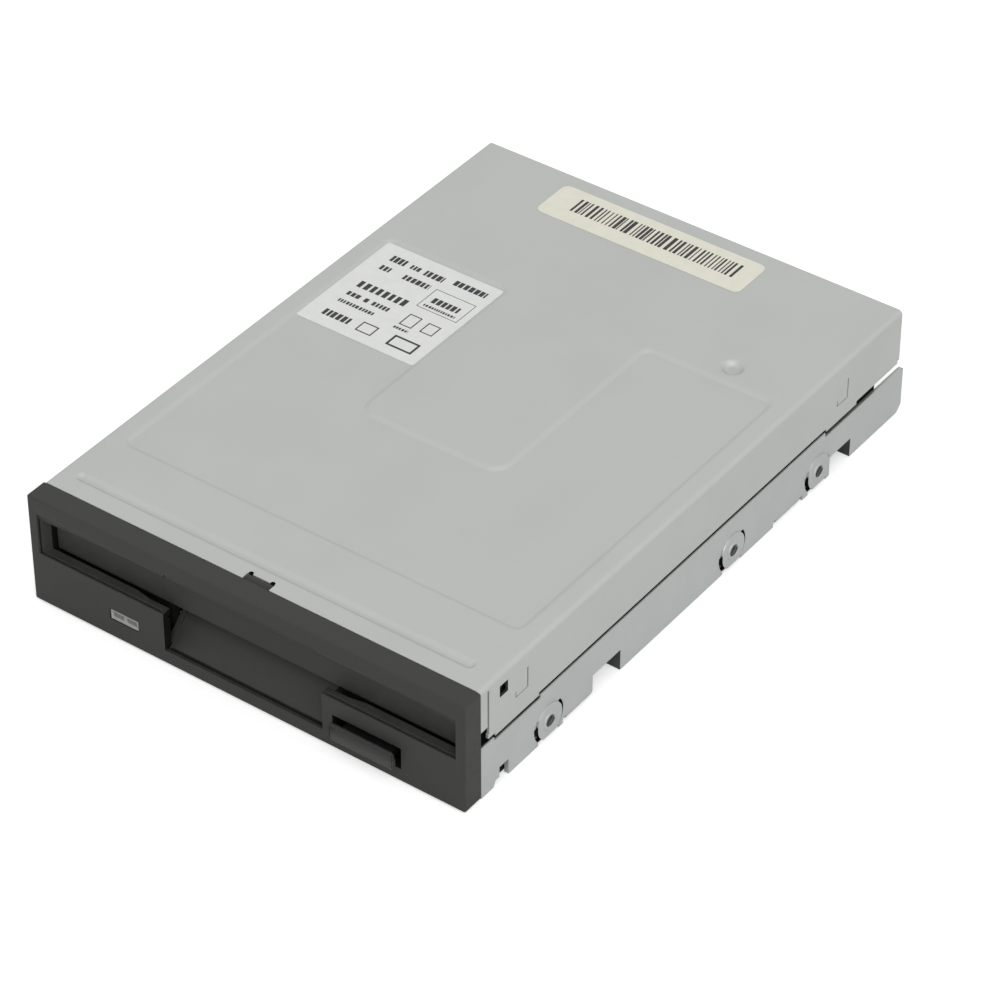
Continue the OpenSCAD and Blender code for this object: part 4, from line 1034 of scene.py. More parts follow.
    def build(self) -> Thing:
        """Builds the whole cover.

        Returns:
            The cover.
        """
        cover = self.top_sheet()
        self.fold_sides(cover)
        apply_modifier(cover, "SOLIDIFY", thickness=self.sheet * MM, offset=-1, use_even_offset=True,
                       use_quality_normals=True)
        flange = add_box("flange", (-self.flange_half, self.flange_half), (self.rear - self.sheet, self.rear),
                         (self.edge + self.flange_rise, self.top - 0.4))
        carve(cover, flange, operation="UNION")
        carve(cover, *self.side_cuts())
        half, depth = self.notch
        carve(cover, add_box("notch", (-half, half), (self.front - 1, depth), (self.top - 3, self.top + 1)))
        for side in (-1, 1):
            carve(cover, add_rod("ear", at(side * self.ears[0], self.ears[1], self.top), self.ears[2], 6, Axis.Z))
        x, (low, high) = self.window
        carve(cover, add_box("window", x, (self.rear - 2, self.rear + 1), (self.edge + low, self.edge + high)))
        soften(cover, 0.0)
        dress(cover, COVER_STEEL, RAW_CUT_AND_SHADE, PAINTED_SHADE)
        with open_mesh(cover):
            # The holes' cut edges: bare steel, darkened as painted shade
            paint(cover, 1, self.hole_edge)
            # The ears' walls get near-black painted shade
            paint(cover, 2, self.ear_wall)
        return hand_over(cover, "frame", "cover_steel", "top_cover")


@dataclass
class Bezel:
    """The moulded front with its mouth, finger scoop and pockets."""

    mouth_half: float = 48.6
    mouth_low: float = 12.0
    mouth_top: float = 21.5
    scoop_half: float = 18.5
    lip_drop: float = 1.2
    lip_back: Span = (0.3, 2.2)
    web_t: Span = (4.4, 6.4)
    web_z: Span = (1.6, 11.0)
    web_step: float = 9.2
    low_webs: tuple[Span, ...] = ((-46.8, -33.0), (-23.7, -19.7), (37.2, 46.8))
    high_web: Span = (19.7, 46.8)
    arm_x: Span = (47.6, 49.35)
    arm_t: Span = (4.4, 15.0)
    arm_z: Span = (0.3, 4.4)
    pocket: Span = (19.7, 37.3)
    pocket_back: Span = (8.1, 8.8)
    tongue: tuple[Span, Span] = ((25.45, 31.75), (5.15, 6.25))
    shelf_back: float = 2.0
    shelf_run: float = 9.2
    seam_t: Span = (0.35, 0.75)
    wall_window: Span = (1.9, 8.8)
    lip_groove: tuple[float, Span] = (0.75, (1.4, 4.0))
    scoop_floor: tuple[Span, Span] = ((0.9, 2.5), (9.6, 10.8))
    outline: tuple[Span, Span, Span] = ((-50.6, 50.6), (0.0, 4.8), (0.2, 25.2))
    rim: float = 1.4
    crisp: float = 0.4
    dark_gap: Span = (46.5, 49.2)
    dark_pocket: tuple[Span, Span, Span] = ((20.7, 36.5), (0.3, 7.2), (3.0, 8.4))

    def outer_rim(self) -> Thing:
        """Makes the band that crisps the outer edges of the moulding.

        Returns:
            The band.
        """
        (left, right), (front, back), (low, top) = self.outline
        band = add_box("rim", *self.outline)
        with open_mesh(band):
            pick(Part.EDGE, lambda p, n: p.y < back - 0.1)
            bpy.ops.mesh.bevel(offset=self.crisp * MM, segments=4)
        carve(band, add_box("inside", (left + self.rim, right - self.rim), (front - 1, back + 1),
                            (low + self.rim, top - self.rim)))
        return band

    def seam_cuts(self) -> list[Thing]:
        """Makes the cutters of the thin shadow line just inside the mouth.

        Returns:
            The cutters.
        """
        cuts = [add_box("seam", (-self.mouth_half - 0.4, -self.mouth_half + 0.6), self.seam_t,
                        (self.mouth_low - 0.4, self.mouth_top))]
        for side in (-1, 1):
            span = mirrored(side, self.scoop_half + 0.8, self.mouth_half + 0.4)
            cuts.append(add_box("seam", span, self.seam_t, (self.mouth_low - 0.4, self.mouth_low + 0.2)))
        return cuts

    def lip_wedges(self) -> list[Thing]:
        """Makes the tapered webs that thicken the lip towards both ends of the mouth.

        Returns:
            A wedge for each end.
        """
        wedges = []
        low, near = self.mouth_top - self.lip_drop, self.scoop_half - 0.7
        for side in (-1, 1):
            span = mirrored(side, near, self.mouth_half + 0.2)
            wedge = add_box("wedge", span, self.lip_back, (low, self.mouth_top + 0.2))
            with open_mesh(wedge):
                pick(Part.VERT, lambda p, n: abs(p.x) < near + 0.1 and p.z < low + 0.1)
                bpy.ops.transform.translate(value=(0, 0, (self.lip_drop - 0.02) * MM))
            wedges.append(wedge)
        return wedges

    def shelf_ends(self) -> list[Thing]:
        """Makes the blocks that square off the shelf beside the scoop and shallow the lip's middle notch.

        Returns:
            The blocks.
        """
        low = self.mouth_low
        blocks = [add_box("notch", (-self.scoop_half + 0.8, self.scoop_half - 0.8), (0.25, 1.2),
                          (self.mouth_top - 0.3, self.mouth_top + 0.7))]
        for side in (-1, 1):
            span = mirrored(side, self.scoop_half, self.scoop_half + self.shelf_run)
            blocks.append(add_box("shelf", span, (1.0, self.shelf_back), (low - 1.2, low + 0.17)))
        return blocks

    def scoop_cuts(self) -> list[Thing]:
        """Makes the cutters of the groove behind the scoop's lip, the opening in its left wall and its walls' tops.

        Returns:
            The cutters.
        """
        (t0, z0), (t1, z1) = self.scoop_floor
        rise = (z1 - z0) / (t1 - t0)
        wide, z = self.lip_groove
        groove = add_box("groove", (0.2 - self.scoop_half, self.scoop_half - 0.2), (t0, t0 + wide), z)
        (near, far), low = self.wall_window, 2.0
        window = add_box("window", (-self.scoop_half - 1.8, 0.3 - self.scoop_half), (near, far),
                         (low, self.mouth_low - 0.8))
        with open_mesh(window):
            for t in (near, far):
                pick(Part.VERT, lambda p, n: abs(p.y - t) < 0.1 and p.z < low + 0.1)
                bpy.ops.transform.translate(value=(0, 0, (z0 + rise * (t - t0) + 0.4 - low) * MM))
        cuts = [groove, window]
        for side in (-1, 1):
            span = mirrored(side, self.scoop_half + 0.15, self.scoop_half + 1.4)
            cuts.append(add_box("wall", span, (self.shelf_back + 0.1, 11.0), (9.4, self.mouth_low - 0.3)))
        return cuts

    def rear_webs(self) -> list[Thing]:
        """Makes the webs behind the shelf that close the view under the door, and the snap arms, all near-black as
        painted shade.

        Returns:
            The webs and arms.
        """
        low, top = self.web_z
        webs = [add_box("web", span, self.web_t, (low, self.web_step)) for span in self.low_webs]
        for side in (-1, 1):
            webs.append(add_box("web", mirrored(side, *self.high_web), self.web_t, (self.web_step - 0.1, top)))
            webs.append(add_box("arm", mirrored(side, *self.arm_x), self.arm_t, self.arm_z))
        return webs

    def pocket_box(self) -> list[Thing]:
        """Makes the box behind the button's pocket, near-black as painted shade, with a window for the slider's
        tongue.

        Returns:
            Both cheeks and the four strips of the back.
        """
        (left, right), back, (low, top) = self.pocket, self.pocket_back, (self.web_z[0], self.web_step)
        (near, far), (under, over) = self.tongue
        cheeks = [((left, left + 2.6), (self.web_t[0], back[1]), (low, top)),
                  ((right - 2.4, right), (self.web_t[0], back[1]), (low, top))]
        strips = [((left + 0.2, near), back, (low, top)), ((far, right - 0.2), back, (low, top)),
                  ((near - 0.2, far + 0.2), back, (low, under)), ((near - 0.2, far + 0.2), back, (over, top))]
        return [add_box("pocket", *spans) for spans in cheeks + strips]

    def in_shadow(self, p: Vector, n: Vector) -> bool:
        """Tells whether a face lies in the dark and gets near-black painted shade.

        Args:
            p: The face's place.
            n: Its normal.

        Returns:
            True on the scoop's left wall, in the gap beside the door and in the button's pocket.
        """
        near, far = self.dark_gap
        wall = n.x > ALONG and abs(p.x + self.scoop_half) < 1.4 and 0.2 < p.y < 11 and p.z < self.mouth_low + 0.3
        gap = near < abs(p.x) < far and p.y > 2.2 and self.mouth_low - 0.6 < p.z < self.mouth_top
        pocket = all(low < place < high for (low, high), place in zip(self.dark_pocket, p))
        return wall or gap or pocket

    def build(self) -> Thing:
        """Builds the bezel from its solid, with its lip, webs and seam.

        Returns:
            The bezel.
        """
        bezel = merged_copy("front_bezel", "bezel_moulding")
        carve(bezel, self.outer_rim(), *self.lip_wedges(), *self.shelf_ends(), operation="UNION")
        carve(bezel, *self.seam_cuts(), *self.scoop_cuts())
        soften(bezel, 0.0)
        dress(bezel, CHARCOAL, PAINTED_SHADE)
        with open_mesh(bezel):
            # The scoop's left wall, the gap beside the door and the button's pocket get near-black painted shade
            paint(bezel, 1, self.in_shadow)
        webs = self.rear_webs() + self.pocket_box()
        # The webs, snap arms and pocket box are dressed near-black as painted shade
        dress_all(webs, PAINTED_SHADE)
        for web in webs:
            soften(web, 0.2)
        join(bezel, *webs)
        return hand_over(bezel, "frame", "bezel_plastic", "front_bezel")


@dataclass
class SlotDoor:
    """The flap that closes the mouth."""

    edge: float = 0.2

    def build(self) -> Thing:
        """Builds the flap with eased edges.

        Returns:
            The flap.
        """
        door = merged_copy("slot_door", "mouth_flap")
        soften(door, self.edge)
        dress(door, CHARCOAL)
        return hand_over(door, "door", "bezel_plastic", "slot_door")


@dataclass
class EjectButton:
    """The button that lets the disc out, a hollowed plate on a narrower stem."""

    x: Span = (21.4, 35.8)
    front: float = -1.8
    z: Span = (3.8, 7.9)
    stem: tuple[Span, Span, Span] = ((23.0, 34.2), (-1.3, 6.8), (4.7, 6.5))
    slot: tuple[Span, Span, Span] = ((25.6, 31.6), (3.0, 8.0), (5.3, 6.1))
    corner: float = 0.7
    sheet: float = 0.55
    rim: float = 0.12
    slope: float = 0.45
    hollow: float = 0.5
    levels: int = 12

    def plate(self) -> Thing:
        """Models the plate's face, sinks it in a trough and thickens it.

        Returns:
            The plate.
        """
        plate = add_box("button_cap", self.x, (self.front, self.front + 1), self.z)
        low, high = self.z[0] + self.rim, self.z[1] - self.rim
        heights = [low + (high - low) * step / self.levels for step in range(self.levels + 1)]
        left, right = self.x[0] + self.rim, self.x[1] - self.rim
        with open_mesh(plate):
            pick(Part.EDGE, lambda p, n: abs(n.y) > ALONG)
            bpy.ops.mesh.bevel(offset=self.corner * MM, segments=6)
            pick(Part.FACE, lambda p, n: n.y > -ALONG)
            bpy.ops.mesh.delete(type="FACE")
            cuts = [(at(0, 0, z), (0, 0, 1)) for z in heights]
            cuts += [(at(x, 0, 0), (1, 0, 0)) for x in (left, left + self.slope, right - self.slope, right)]
            for place, facing in cuts:
                cut_through(place, facing)
            for z in heights[1:-1]:
                pick(Part.VERT, lambda p, n: abs(p.z - z) < NEAR and left + 0.1 < p.x < right - 0.1)
                share = 2 * (z - low) / (high - low) - 1
                bpy.ops.transform.translate(value=(0, self.hollow * (1 - share * share) * MM, 0))
        apply_modifier(plate, "SOLIDIFY", thickness=self.sheet * MM, offset=-1, use_even_offset=True)
        soften(plate, 0.2, 3, 50)
        return plate

    def build(self) -> Thing:
        """Builds the button with a slot in its stem for the slider's tongue; the stem is near-black as painted shade.

        Returns:
            The button.
        """
        stem = add_box("stem", *self.stem)
        carve(stem, add_box("slot", *self.slot))
        soften(stem, 0.2, 3)
        # The stem is near-black as painted shade inside the pocket
        dress(stem, PAINTED_SHADE)
        plate = self.plate()
        # The plate's face is paler towards its lower edge as painted light
        dress(plate, BUTTON_FACE)
        return hand_over(join(plate, stem), "slider", "bezel_plastic", "eject_button")


@dataclass
class LampWindow:
    """The clear light guide in front of the indicator lamp."""

    x: Span = (-31.66, -24.94)
    t: Span = (0.2, 6.6)
    z: Span = (4.54, 6.86)
    pipe: tuple[Span, Span, Span] = ((-30.7, -25.9), (6.5, 8.8), (5.0, 6.6))
    rim: float = 0.45
    slope: float = 0.12
    sunk: float = 0.25
    bar: float = 0.4
    prism: Span = (0.28, 0.35)

    def build(self) -> Thing:
        """Builds the guide with a sunk face that holds two prisms, darkened with painted shade.

        Returns:
            The guide.
        """
        window = add_box("lamp_lens", self.x, self.t, self.z)
        dress(window, FINISHES["lamp_plastic"], LAMP_PAINTED_SHADE)
        middle = sum(self.x) / 2
        with open_mesh(window):
            pick(Part.FACE, lambda p, n: n.y < -ALONG)
            bpy.ops.mesh.inset(thickness=self.rim * MM, depth=0)
            bpy.ops.mesh.inset(thickness=self.slope * MM, depth=-self.sunk * MM)
            for x in (middle - self.bar, middle + self.bar):
                pick(Part.FACE, lambda p, n: n.y < -ALONG and p.y > self.t[0] + 0.1)
                bpy.ops.mesh.bisect(plane_co=at(x, 0, 0), plane_no=(1, 0, 0))
            # The sunk faces beside the middle bar get painted shade
            paint(window, 1, lambda p, n: n.y < -ALONG and p.y > self.t[0] + 0.1 and abs(p.x - middle) > self.bar)
            bpy.ops.mesh.inset(thickness=self.prism[0] * MM, depth=-self.prism[1] * MM, use_individual=True)
        pipe = add_box("pipe", *self.pipe)
        carve(window, pipe, operation="UNION")
        soften(window, 0.06)
        return hand_over(window, "frame", "lamp_plastic", "lamp_window")


@dataclass(frozen=True)
class InkRow:
    """A row of plain printed marks with chance widths and gaps."""

    x: Span
    t: Span
    mark: Span
    gap: Span

    def print_on(self, height: float, chance: random.Random) -> Thing:
        """Prints the row.

        Args:
            height: Height of the paper's face.
            chance: The source of chance widths.

        Returns:
            The row's ink.
        """
        row = add_plane("ink", self.x, self.t, height - INK_SINK)
        marks, place = [], self.x[0]
        while place < self.x[1]:
            end = min(place + chance.uniform(*self.mark), self.x[1])
            marks.append((place, end))
            place = end + chance.uniform(*self.gap)
        with open_mesh(row):
            for x in (edge for mark in marks for edge in mark):
                cut_through(at(x, 0, 0), (1, 0, 0))
            pick(Part.FACE, lambda p, n: not any(a < p.x < b for a, b in marks))
            bpy.ops.mesh.delete(type="FACE")
            raise_ink()
        return row


@dataclass(frozen=True)
class InkFrame:
    """An empty printed box."""

    x: Span
    t: Span
    line: float = 0.22

    def print_on(self, height: float, chance: random.Random) -> Thing:
        """Prints the box.

        Args:
            height: Height of the paper's face.
            chance: Not used by a plain box.

        Returns:
            The box's ink.
        """
        box = add_plane("ink", self.x, self.t, height - INK_SINK)
        with open_mesh(box):
            pick_all(Part.FACE)
            bpy.ops.mesh.inset(thickness=self.line * MM, depth=0)
            bpy.ops.mesh.delete(type="FACE")
            raise_ink()
        return box


def raise_ink(thickness: float = 0.016) -> None:
    """Gives the open mesh's flat marks the thickness of a film of ink.

    Args:
        thickness: The film's thickness in millimetres.
    """
    pick_all(Part.FACE)
    bpy.ops.mesh.extrude_region_move(TRANSFORM_OT_translate={"value": (0, 0, thickness * MM)})
    face_out()


@dataclass
class PrintedLabel:
    """A paper label with plain marks in place of its print."""

    node: str
    name: str
    slot: str
    corner: float
    marks: tuple[InkRow | InkFrame, ...]
    seed: int

    def build(self) -> Thing:
        """Builds the paper and prints its marks.

        Returns:
            The label.
        """
        low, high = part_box(self.node)
        x, z = (low.x / MM, high.x / MM), (low.z / MM, high.z / MM)
        t = ((low.y - FACE_Y) / MM, (high.y - FACE_Y) / MM)
        paper = add_box(self.name, x, t, z)
        with open_mesh(paper):
            pick(Part.EDGE, lambda p, n: abs(n.z) > ALONG)
            bpy.ops.mesh.bevel(offset=self.corner * MM, segments=6)
        soften(paper, 0.02, 1)
        dress(paper, FINISHES[self.slot])
        chance = random.Random(self.seed)
        inks = [mark.print_on(z[1], chance) for mark in self.marks]
        dress_all(inks, LABEL_INK)
        join(paper, *inks)
        return hand_over(paper, "frame", self.slot, self.node)


def labels() -> list[PrintedLabel]:
    """Lays out both labels.

    Returns:
        The large label in the cover's panel and the striped one at its rear.
    """
    letters, digits, gap = (0.5, 1.0), (0.9, 1.1), (0.22, 0.36)
    large = (
        InkRow((-41.8, -38.2), (99.4, 101.4), letters, gap),
        InkRow((-36.9, -34.6), (99.6, 101.0), letters, gap),
        InkRow((-33.4, -28.8), (99.4, 101.2), letters, gap),
        InkRow((-26.6, -18.8), (100.2, 101.9), digits, gap),
        InkRow((-41.8, -39.4), (95.9, 97.5), letters, gap),
        InkRow((-36.0, -29.6), (95.9, 97.5), letters, gap),
        InkFrame((-28.2, -18.4), (90.4, 97.2), 0.14),
        InkRow((-26.6, -20.2), (92.9, 94.7), letters, gap),
        InkRow((-27.2, -19.6), (91.2, 91.9), (0.3, 0.6), (0.15, 0.25)),
        InkRow((-41.8, -29.6), (88.6, 90.8), digits, (0.5, 0.6)),
        InkRow((-41.8, -38.4), (85.3, 86.6), letters, gap),
        InkRow((-37.6, -36.4), (85.3, 86.6), letters, gap),
        InkRow((-35.6, -31.6), (85.3, 86.6), letters, gap),
        InkRow((-41.8, -33.0), (82.6, 83.6), (0.4, 0.7), (0.2, 0.3)),
        InkFrame((-27.4, -24.4), (83.6, 87.6), 0.26),
        InkFrame((-22.6, -19.6), (83.9, 87.3), 0.26),
        InkRow((-27.6, -24.2), (82.0, 82.7), (0.3, 0.6), (0.15, 0.25)),
        InkRow((-41.8, -35.2), (77.4, 79.4), letters, gap),
        InkFrame((-33.2, -29.4), (77.0, 80.2), 0.3),
        InkFrame((-25.6, -19.4), (76.8, 80.4), 0.5),
    )
    stripes = (InkRow((-22.4, 17.0), (134.3, 139.0), (0.22, 0.85), (0.2, 0.75)),)
    return [PrintedLabel("large_label", "panel_label", "white_label", 0.5, large, 7),
            PrintedLabel("small_label", "stripe_label", "cream_label", 1.6, stripes, 12)]


@dataclass
class Chassis:
    """The pressed base with its screw bosses and cut edges."""

    holes: tuple[float, ...] = HOLE_DEPTHS
    hole_z: float = HOLE_HEIGHT
    boss_radius: float = 3.75
    front_slit: tuple[float, Span, Span] = (4.6, (-5.0, -2.4), (-3.0, 0.7))
    rear_slit: tuple[float, Span, Span] = (4.45, (1.8, 5.0), (-3.1, 2.7))
    ring: Place = (2.0, 1.3, 0.28)
    thin: tuple[Span, Span, Span] = ((48.9, 50.15), (4.0, 148.0), (10.3, 13.0))
    face: float = 50.8
    tabs: tuple[float, ...] = (35.3, 105.3)
    tab_x: Span = (49.3, 51.5)
    tab_half: float = 4.6
    cut_ends: tuple[float, ...] = (48.4, 127.6)
    bend: Span = (49.43, 1.06)
    bend_radius: float = 1.02

    def trims(self) -> list[Thing]:
        """Makes the cutters that thin the walls' top edge, slit the bosses and shape the bottom tabs' bends.

        Returns:
            The cutters.
        """
        cuts = []
        x, *rest = self.thin
        for side in (-1, 1):
            cuts.append(add_box("thin", mirrored(side, *x), *rest))
            span = mirrored(side, *self.tab_x)
            for tab in self.tabs:
                for end in (tab - self.tab_half, tab + self.tab_half):
                    cuts.append(add_box("relief", span, (end - 0.6, end + 0.6), (-1.0, 1.2)))
                bend = add_box("bend", span, (tab - 4.2, tab + 4.2), (-1.0, 1.0))
                centre = at(side * self.bend[0], tab, self.bend[1])
                carve(bend, add_rod("inside", centre, self.bend_radius, 9.0, Axis.T, 48))
                cuts.append(bend)
        front, rear = self.slit(*self.front_slit), self.slit(*self.rear_slit)
        return cuts + copies_of(front, self.shifts(3)) + copies_of(rear, self.shifts(2))

    def shifts(self, count: int) -> list[Vector]:
        """Returns how far the first few holes on both sides lie from the first one on the right."""
        return [Vector((x, hole - self.holes[0], 0)) * MM
                for x in (0, -2 * self.face) for hole in self.holes[:count]]

    def slit(self, outer: float, t: Span, z: Span) -> Thing:
        """Models the cutter of a sheared slit beside the first screw boss on the right.

        Args:
            outer: Outer radius of the slit.
            t: Part of the boss that it runs beside, in depth from the hole.
            z: The same in height.

        Returns:
            The cutter.
        """
        hole, height = self.holes[0], self.hole_z
        centre = at(self.face, hole, height)
        arc = add_rod("slit", centre, outer, 2.4, Axis.X, 64)
        carve(arc, add_rod("boss", centre, self.boss_radius, 4.0, Axis.X, 64))
        part = add_box("part", (self.face - 3, self.face + 3), (hole + t[0], hole + t[1]),
                       (height + z[0], height + z[1]))
        carve(arc, part, operation="INTERSECT")
        return arc

    def notch_end(self, p: Vector, n: Vector) -> bool:
        """Tells the cut ends of the wall's notches, which are bare metal darkened with painted shade."""
        return n.y < -ALONG and p.z < 5.2 and abs(p.x) > 43 and any(abs(p.y - end) < 0.3 for end in self.cut_ends)

    def bare_cut_and_shade(self, p: Vector, n: Vector) -> bool:
        """Tells the dark faces: the notches' cut ends (bare metal with painted shade) and the bottom tabs' bend
        undersides (painted shade).
        """
        bend = n.z < -0.2 and abs(p.x) > 49.4 and p.z < 0.75 and any(abs(p.y - tab) < 4.3 for tab in self.tabs)
        return bend or self.notch_end(p, n)

    def slit_wall(self, p: Vector, n: Vector) -> bool:
        """Tells the walls of the slits, which lie in the dark and get near-black painted shade.

        Args:
            p: The face's place.
            n: Its normal.

        Returns:
            True on a slit's wall.
        """
        for hole in self.holes:
            t, z = p.y - hole, p.z - self.hole_z
            if abs(n.x) < 0.3 and 3.7 < math.hypot(t, z) < 4.7 and abs(p.x) > 49.4 and -3.2 < z < 2.8:
                return t > 1.7 or (t < -2.3 and z < 0.8)
        return False

    def collar(self) -> Thing:
        """Models the raised ring round a screw hole, at the first hole on the right.

        Returns:
            The ring.
        """
        centre = at(self.face, self.holes[0], self.hole_z)
        radius, bore, height = self.ring
        ring = add_rod("collar", centre, radius, height, Axis.X, 48)
        carve(ring, add_rod("bore", centre, bore, 2.0, Axis.X, 48))
        soften(ring, 0.08)
        return ring

    def build(self) -> Thing:
        """Builds the base from its solid, with rings, relief cuts and cut edges darkened with painted shade.

        Returns:
            The base.
        """
        chassis = merged_copy("base_chassis", "chassis_pressing")
        carve(chassis, *self.trims())
        dress(chassis, CHASSIS_STEEL, RAW_CUT_AND_SHADE, PAINTED_SHADE)
        with open_mesh(chassis):
            # Notch ends get bare steel darkened as painted shade; the bends' undersides get painted shade
            paint(chassis, 1, self.bare_cut_and_shade)
            # The slits' walls get near-black painted shade
            paint(chassis, 2, self.slit_wall)
        soften(chassis, 0.0)
        rings = copies_of(self.collar(), self.shifts(3))
        dress_all(rings, CHASSIS_STEEL)
        join(chassis, *rings)
        return hand_over(chassis, "frame", "chassis_steel", "base_chassis")


@dataclass
class PaintedShadeSheet:
    """Near-black sheets of painted shade inside both walls, behind the seam and the bosses' slits."""

    strip_x: Span = (49.15, 49.45)
    strip_t: Span = (9.2, 137.4)
    strip_z: Span = (6.4, 14.2)
    pads: tuple[float, ...] = HOLE_DEPTHS
    pad_z: Span = (0.9, 6.5)
    pad_half: float = 4.4
    bore: float = 2.15

    def side(self, side: int) -> Thing:
        """Cuts the painted-shade sheet for one wall.

        Args:
            side: 1 for the right wall, -1 for the left.

        Returns:
            The sheet.
        """
        x = mirrored(side, *self.strip_x)
        film = add_box("painted_shade_sheet", x, self.strip_t, self.strip_z)
        for pad in self.pads:
            carve(film, add_box("pad", x, (pad - self.pad_half, pad + self.pad_half), self.pad_z), operation="UNION")
            carve(film, add_rod("bore", at(sum(x) / 2, pad, HOLE_HEIGHT), self.bore, 3, Axis.X))
        soften(film, 0.05, 1)
        return film

    def build(self) -> Thing:
        """Builds both painted-shade sheets as one piece.

        Returns:
            The sheets.
        """
        film = join(self.side(-1), self.side(1))
        # Dressed near-black as painted shade
        dress(film, PAINTED_SHADE)
        return hand_over(film, "frame", "chassis_steel")


@dataclass
class MountThreads:
    """The screw threads cut in the side mounting holes."""

    depths: tuple[float, ...] = HOLE_DEPTHS
    height: float = HOLE_HEIGHT
    radius: float = 1.25
    crest: float = 0.2
    flank: Span = (0.8, 0.15)
    pitch: float = 0.5
    turns: int = 4
    inner: float = 48.75

    def thread(self) -> Thing:
        """Models one thread round the origin, along x, as a ridge wound with the Screw modifier.

        Returns:
            The thread.
        """
        clear_bench()
        bpy.ops.mesh.primitive_plane_add(size=1)
        ridge = bpy.context.active_object
        ridge.name = ridge.data.name = "mount_threads"
        with open_mesh(ridge):
            bpy.ops.mesh.select_all(action="SELECT")
            bpy.ops.transform.resize(value=(self.flank[0] * self.pitch * MM, self.crest * MM, 1))
            bpy.ops.transform.translate(value=(0, (self.radius - self.crest / 2 + 0.03) * MM, 0))
            pick(Part.VERT, lambda p, n: p.y + FACE_Y / MM < self.radius - self.crest / 2)
            bpy.ops.transform.resize(value=(self.flank[1], 1, 1))
            bpy.ops.mesh.select_all(action="SELECT")
            bpy.ops.mesh.delete(type="ONLY_FACE")
        apply_modifier(ridge, "SCREW", axis="X", angle=2 * math.pi, screw_offset=self.pitch * MM,
                       iterations=self.turns, steps=28, render_steps=28, use_merge_vertices=True)
        return ridge

    def build(self) -> Thing:
        """Copies the thread into every side hole.

        Returns:
            All threads as one piece.
        """
        starts = (-self.inner - self.turns * self.pitch, self.inner)
        threads = join(*copies_of(self.thread(), [at(x, t, self.height) for x in starts for t in self.depths]))
        threads.name = "mount_threads"
        with open_mesh(threads):
            face_out()
        soften(threads, 0.0)
        # The threads take bare steel darkened as painted shade inside the holes
        dress(threads, RAW_CUT_AND_SHADE)
        return hand_over(threads, "frame", "chassis_steel")


@dataclass
class MotorCan:
    """The stepper motor's drawn can, with a crimped rim and a bearing cup on its rear."""

    rim: float = 0.6
    ring: float = 1.5
    step: float = 0.3
    sunk: float = 0.4
    cup: Span = (2.3, 0.7)
    mouth: tuple[Span, ...] = ((0.9, 0.0), (0.2, -0.5))
    grooves: tuple[float, ...] = (2.6, 6.2)
    groove: Span = (0.35, 0.18)
    crimps: int = 6
    crimp: float = 0.55
    boss: float = 2.4
    bore: float = 1.15
    terminal_half: float = 4.0

    def can(self, x: float, z: float, radius: float, t: Span) -> Thing:
        """Draws the can, with grooves round it and a bearing cup on its rear.

        Args:
            x: Its axle's place across the drive.
            z: Its axle's height.
            radius: Its radius.
            t: Its span in depth.

        Returns:
            The can.
        """
        rear = t[1]
        can = add_rod("motor_can", at(x, sum(t) / 2, z), radius, rear - t[0], Axis.T, 64)
        with open_mesh(can):
            for run in self.grooves:
                span = (rear - run - self.groove[0], rear - run)
                for cut in span:
                    cut_through(at(0, cut, 0), (0, 1, 0))
                pick(Part.FACE, lambda p, n: span[0] < p.y < span[1] and abs(n.y) < 0.1)
                bpy.ops.mesh.extrude_region_shrink_fatten(TRANSFORM_OT_shrink_fatten={"value": -self.groove[1] * MM})
            flat = radius - self.ring - self.step - self.cup[0]
            pick(Part.FACE, lambda p, n: n.y > ALONG and abs(p.y - rear) < NEAR)
            for inset, rise in ((self.ring, 0.0), (self.step, -self.sunk), (flat, 0.0), (0.25, self.cup[1]),
                                *self.mouth):
                bpy.ops.mesh.inset(thickness=inset * MM, depth=rise * MM)
            pick(Part.EDGE, lambda p, n: abs(p.y - rear) < NEAR and math.hypot(p.x - x, p.z - z) > radius - 0.1)
            bpy.ops.mesh.bevel(offset=self.rim * MM, segments=5)
        return can

    def build(self) -> Thing:
        """Builds the motor in its solid's place.

        Returns:
            The motor.
        """
        low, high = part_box("stepper_motor")
        x, radius = (low.x + high.x) / 2 / MM, (high.x - low.x) / 2 / MM
        z, front, rear = low.z / MM + radius, (low.y - FACE_Y) / MM, (high.y - FACE_Y) / MM
        motor = self.can(x, z, radius, (front + 1, rear))
        for number in range(self.crimps):
            turn = 2 * math.pi * (number + 0.5) / self.crimps
            out = radius - self.crimp
            spot = at(x + out * math.cos(turn), rear, z + out * math.sin(turn))
            carve(motor, add_rod("crimp", spot, self.crimp, 0.5, Axis.T, 20))
        boss = add_rod("boss", at(x, front + 1, z), self.boss, 2.0, Axis.T)
        terminals = add_box("terminals", (x - self.terminal_half, x + self.terminal_half), (front + 3, rear - 2),
                            (z + radius - 1.5, high.z / MM))
        carve(motor, boss, terminals, operation="UNION")
        carve(motor, add_rod("bore", at(x, front + 1, z), self.bore, 6.0, Axis.T))
        soften(motor, 0.0)
        dress(motor, FINISHES["motor_steel"])
        return hand_over(motor, "frame", "motor_steel", "stepper_motor")


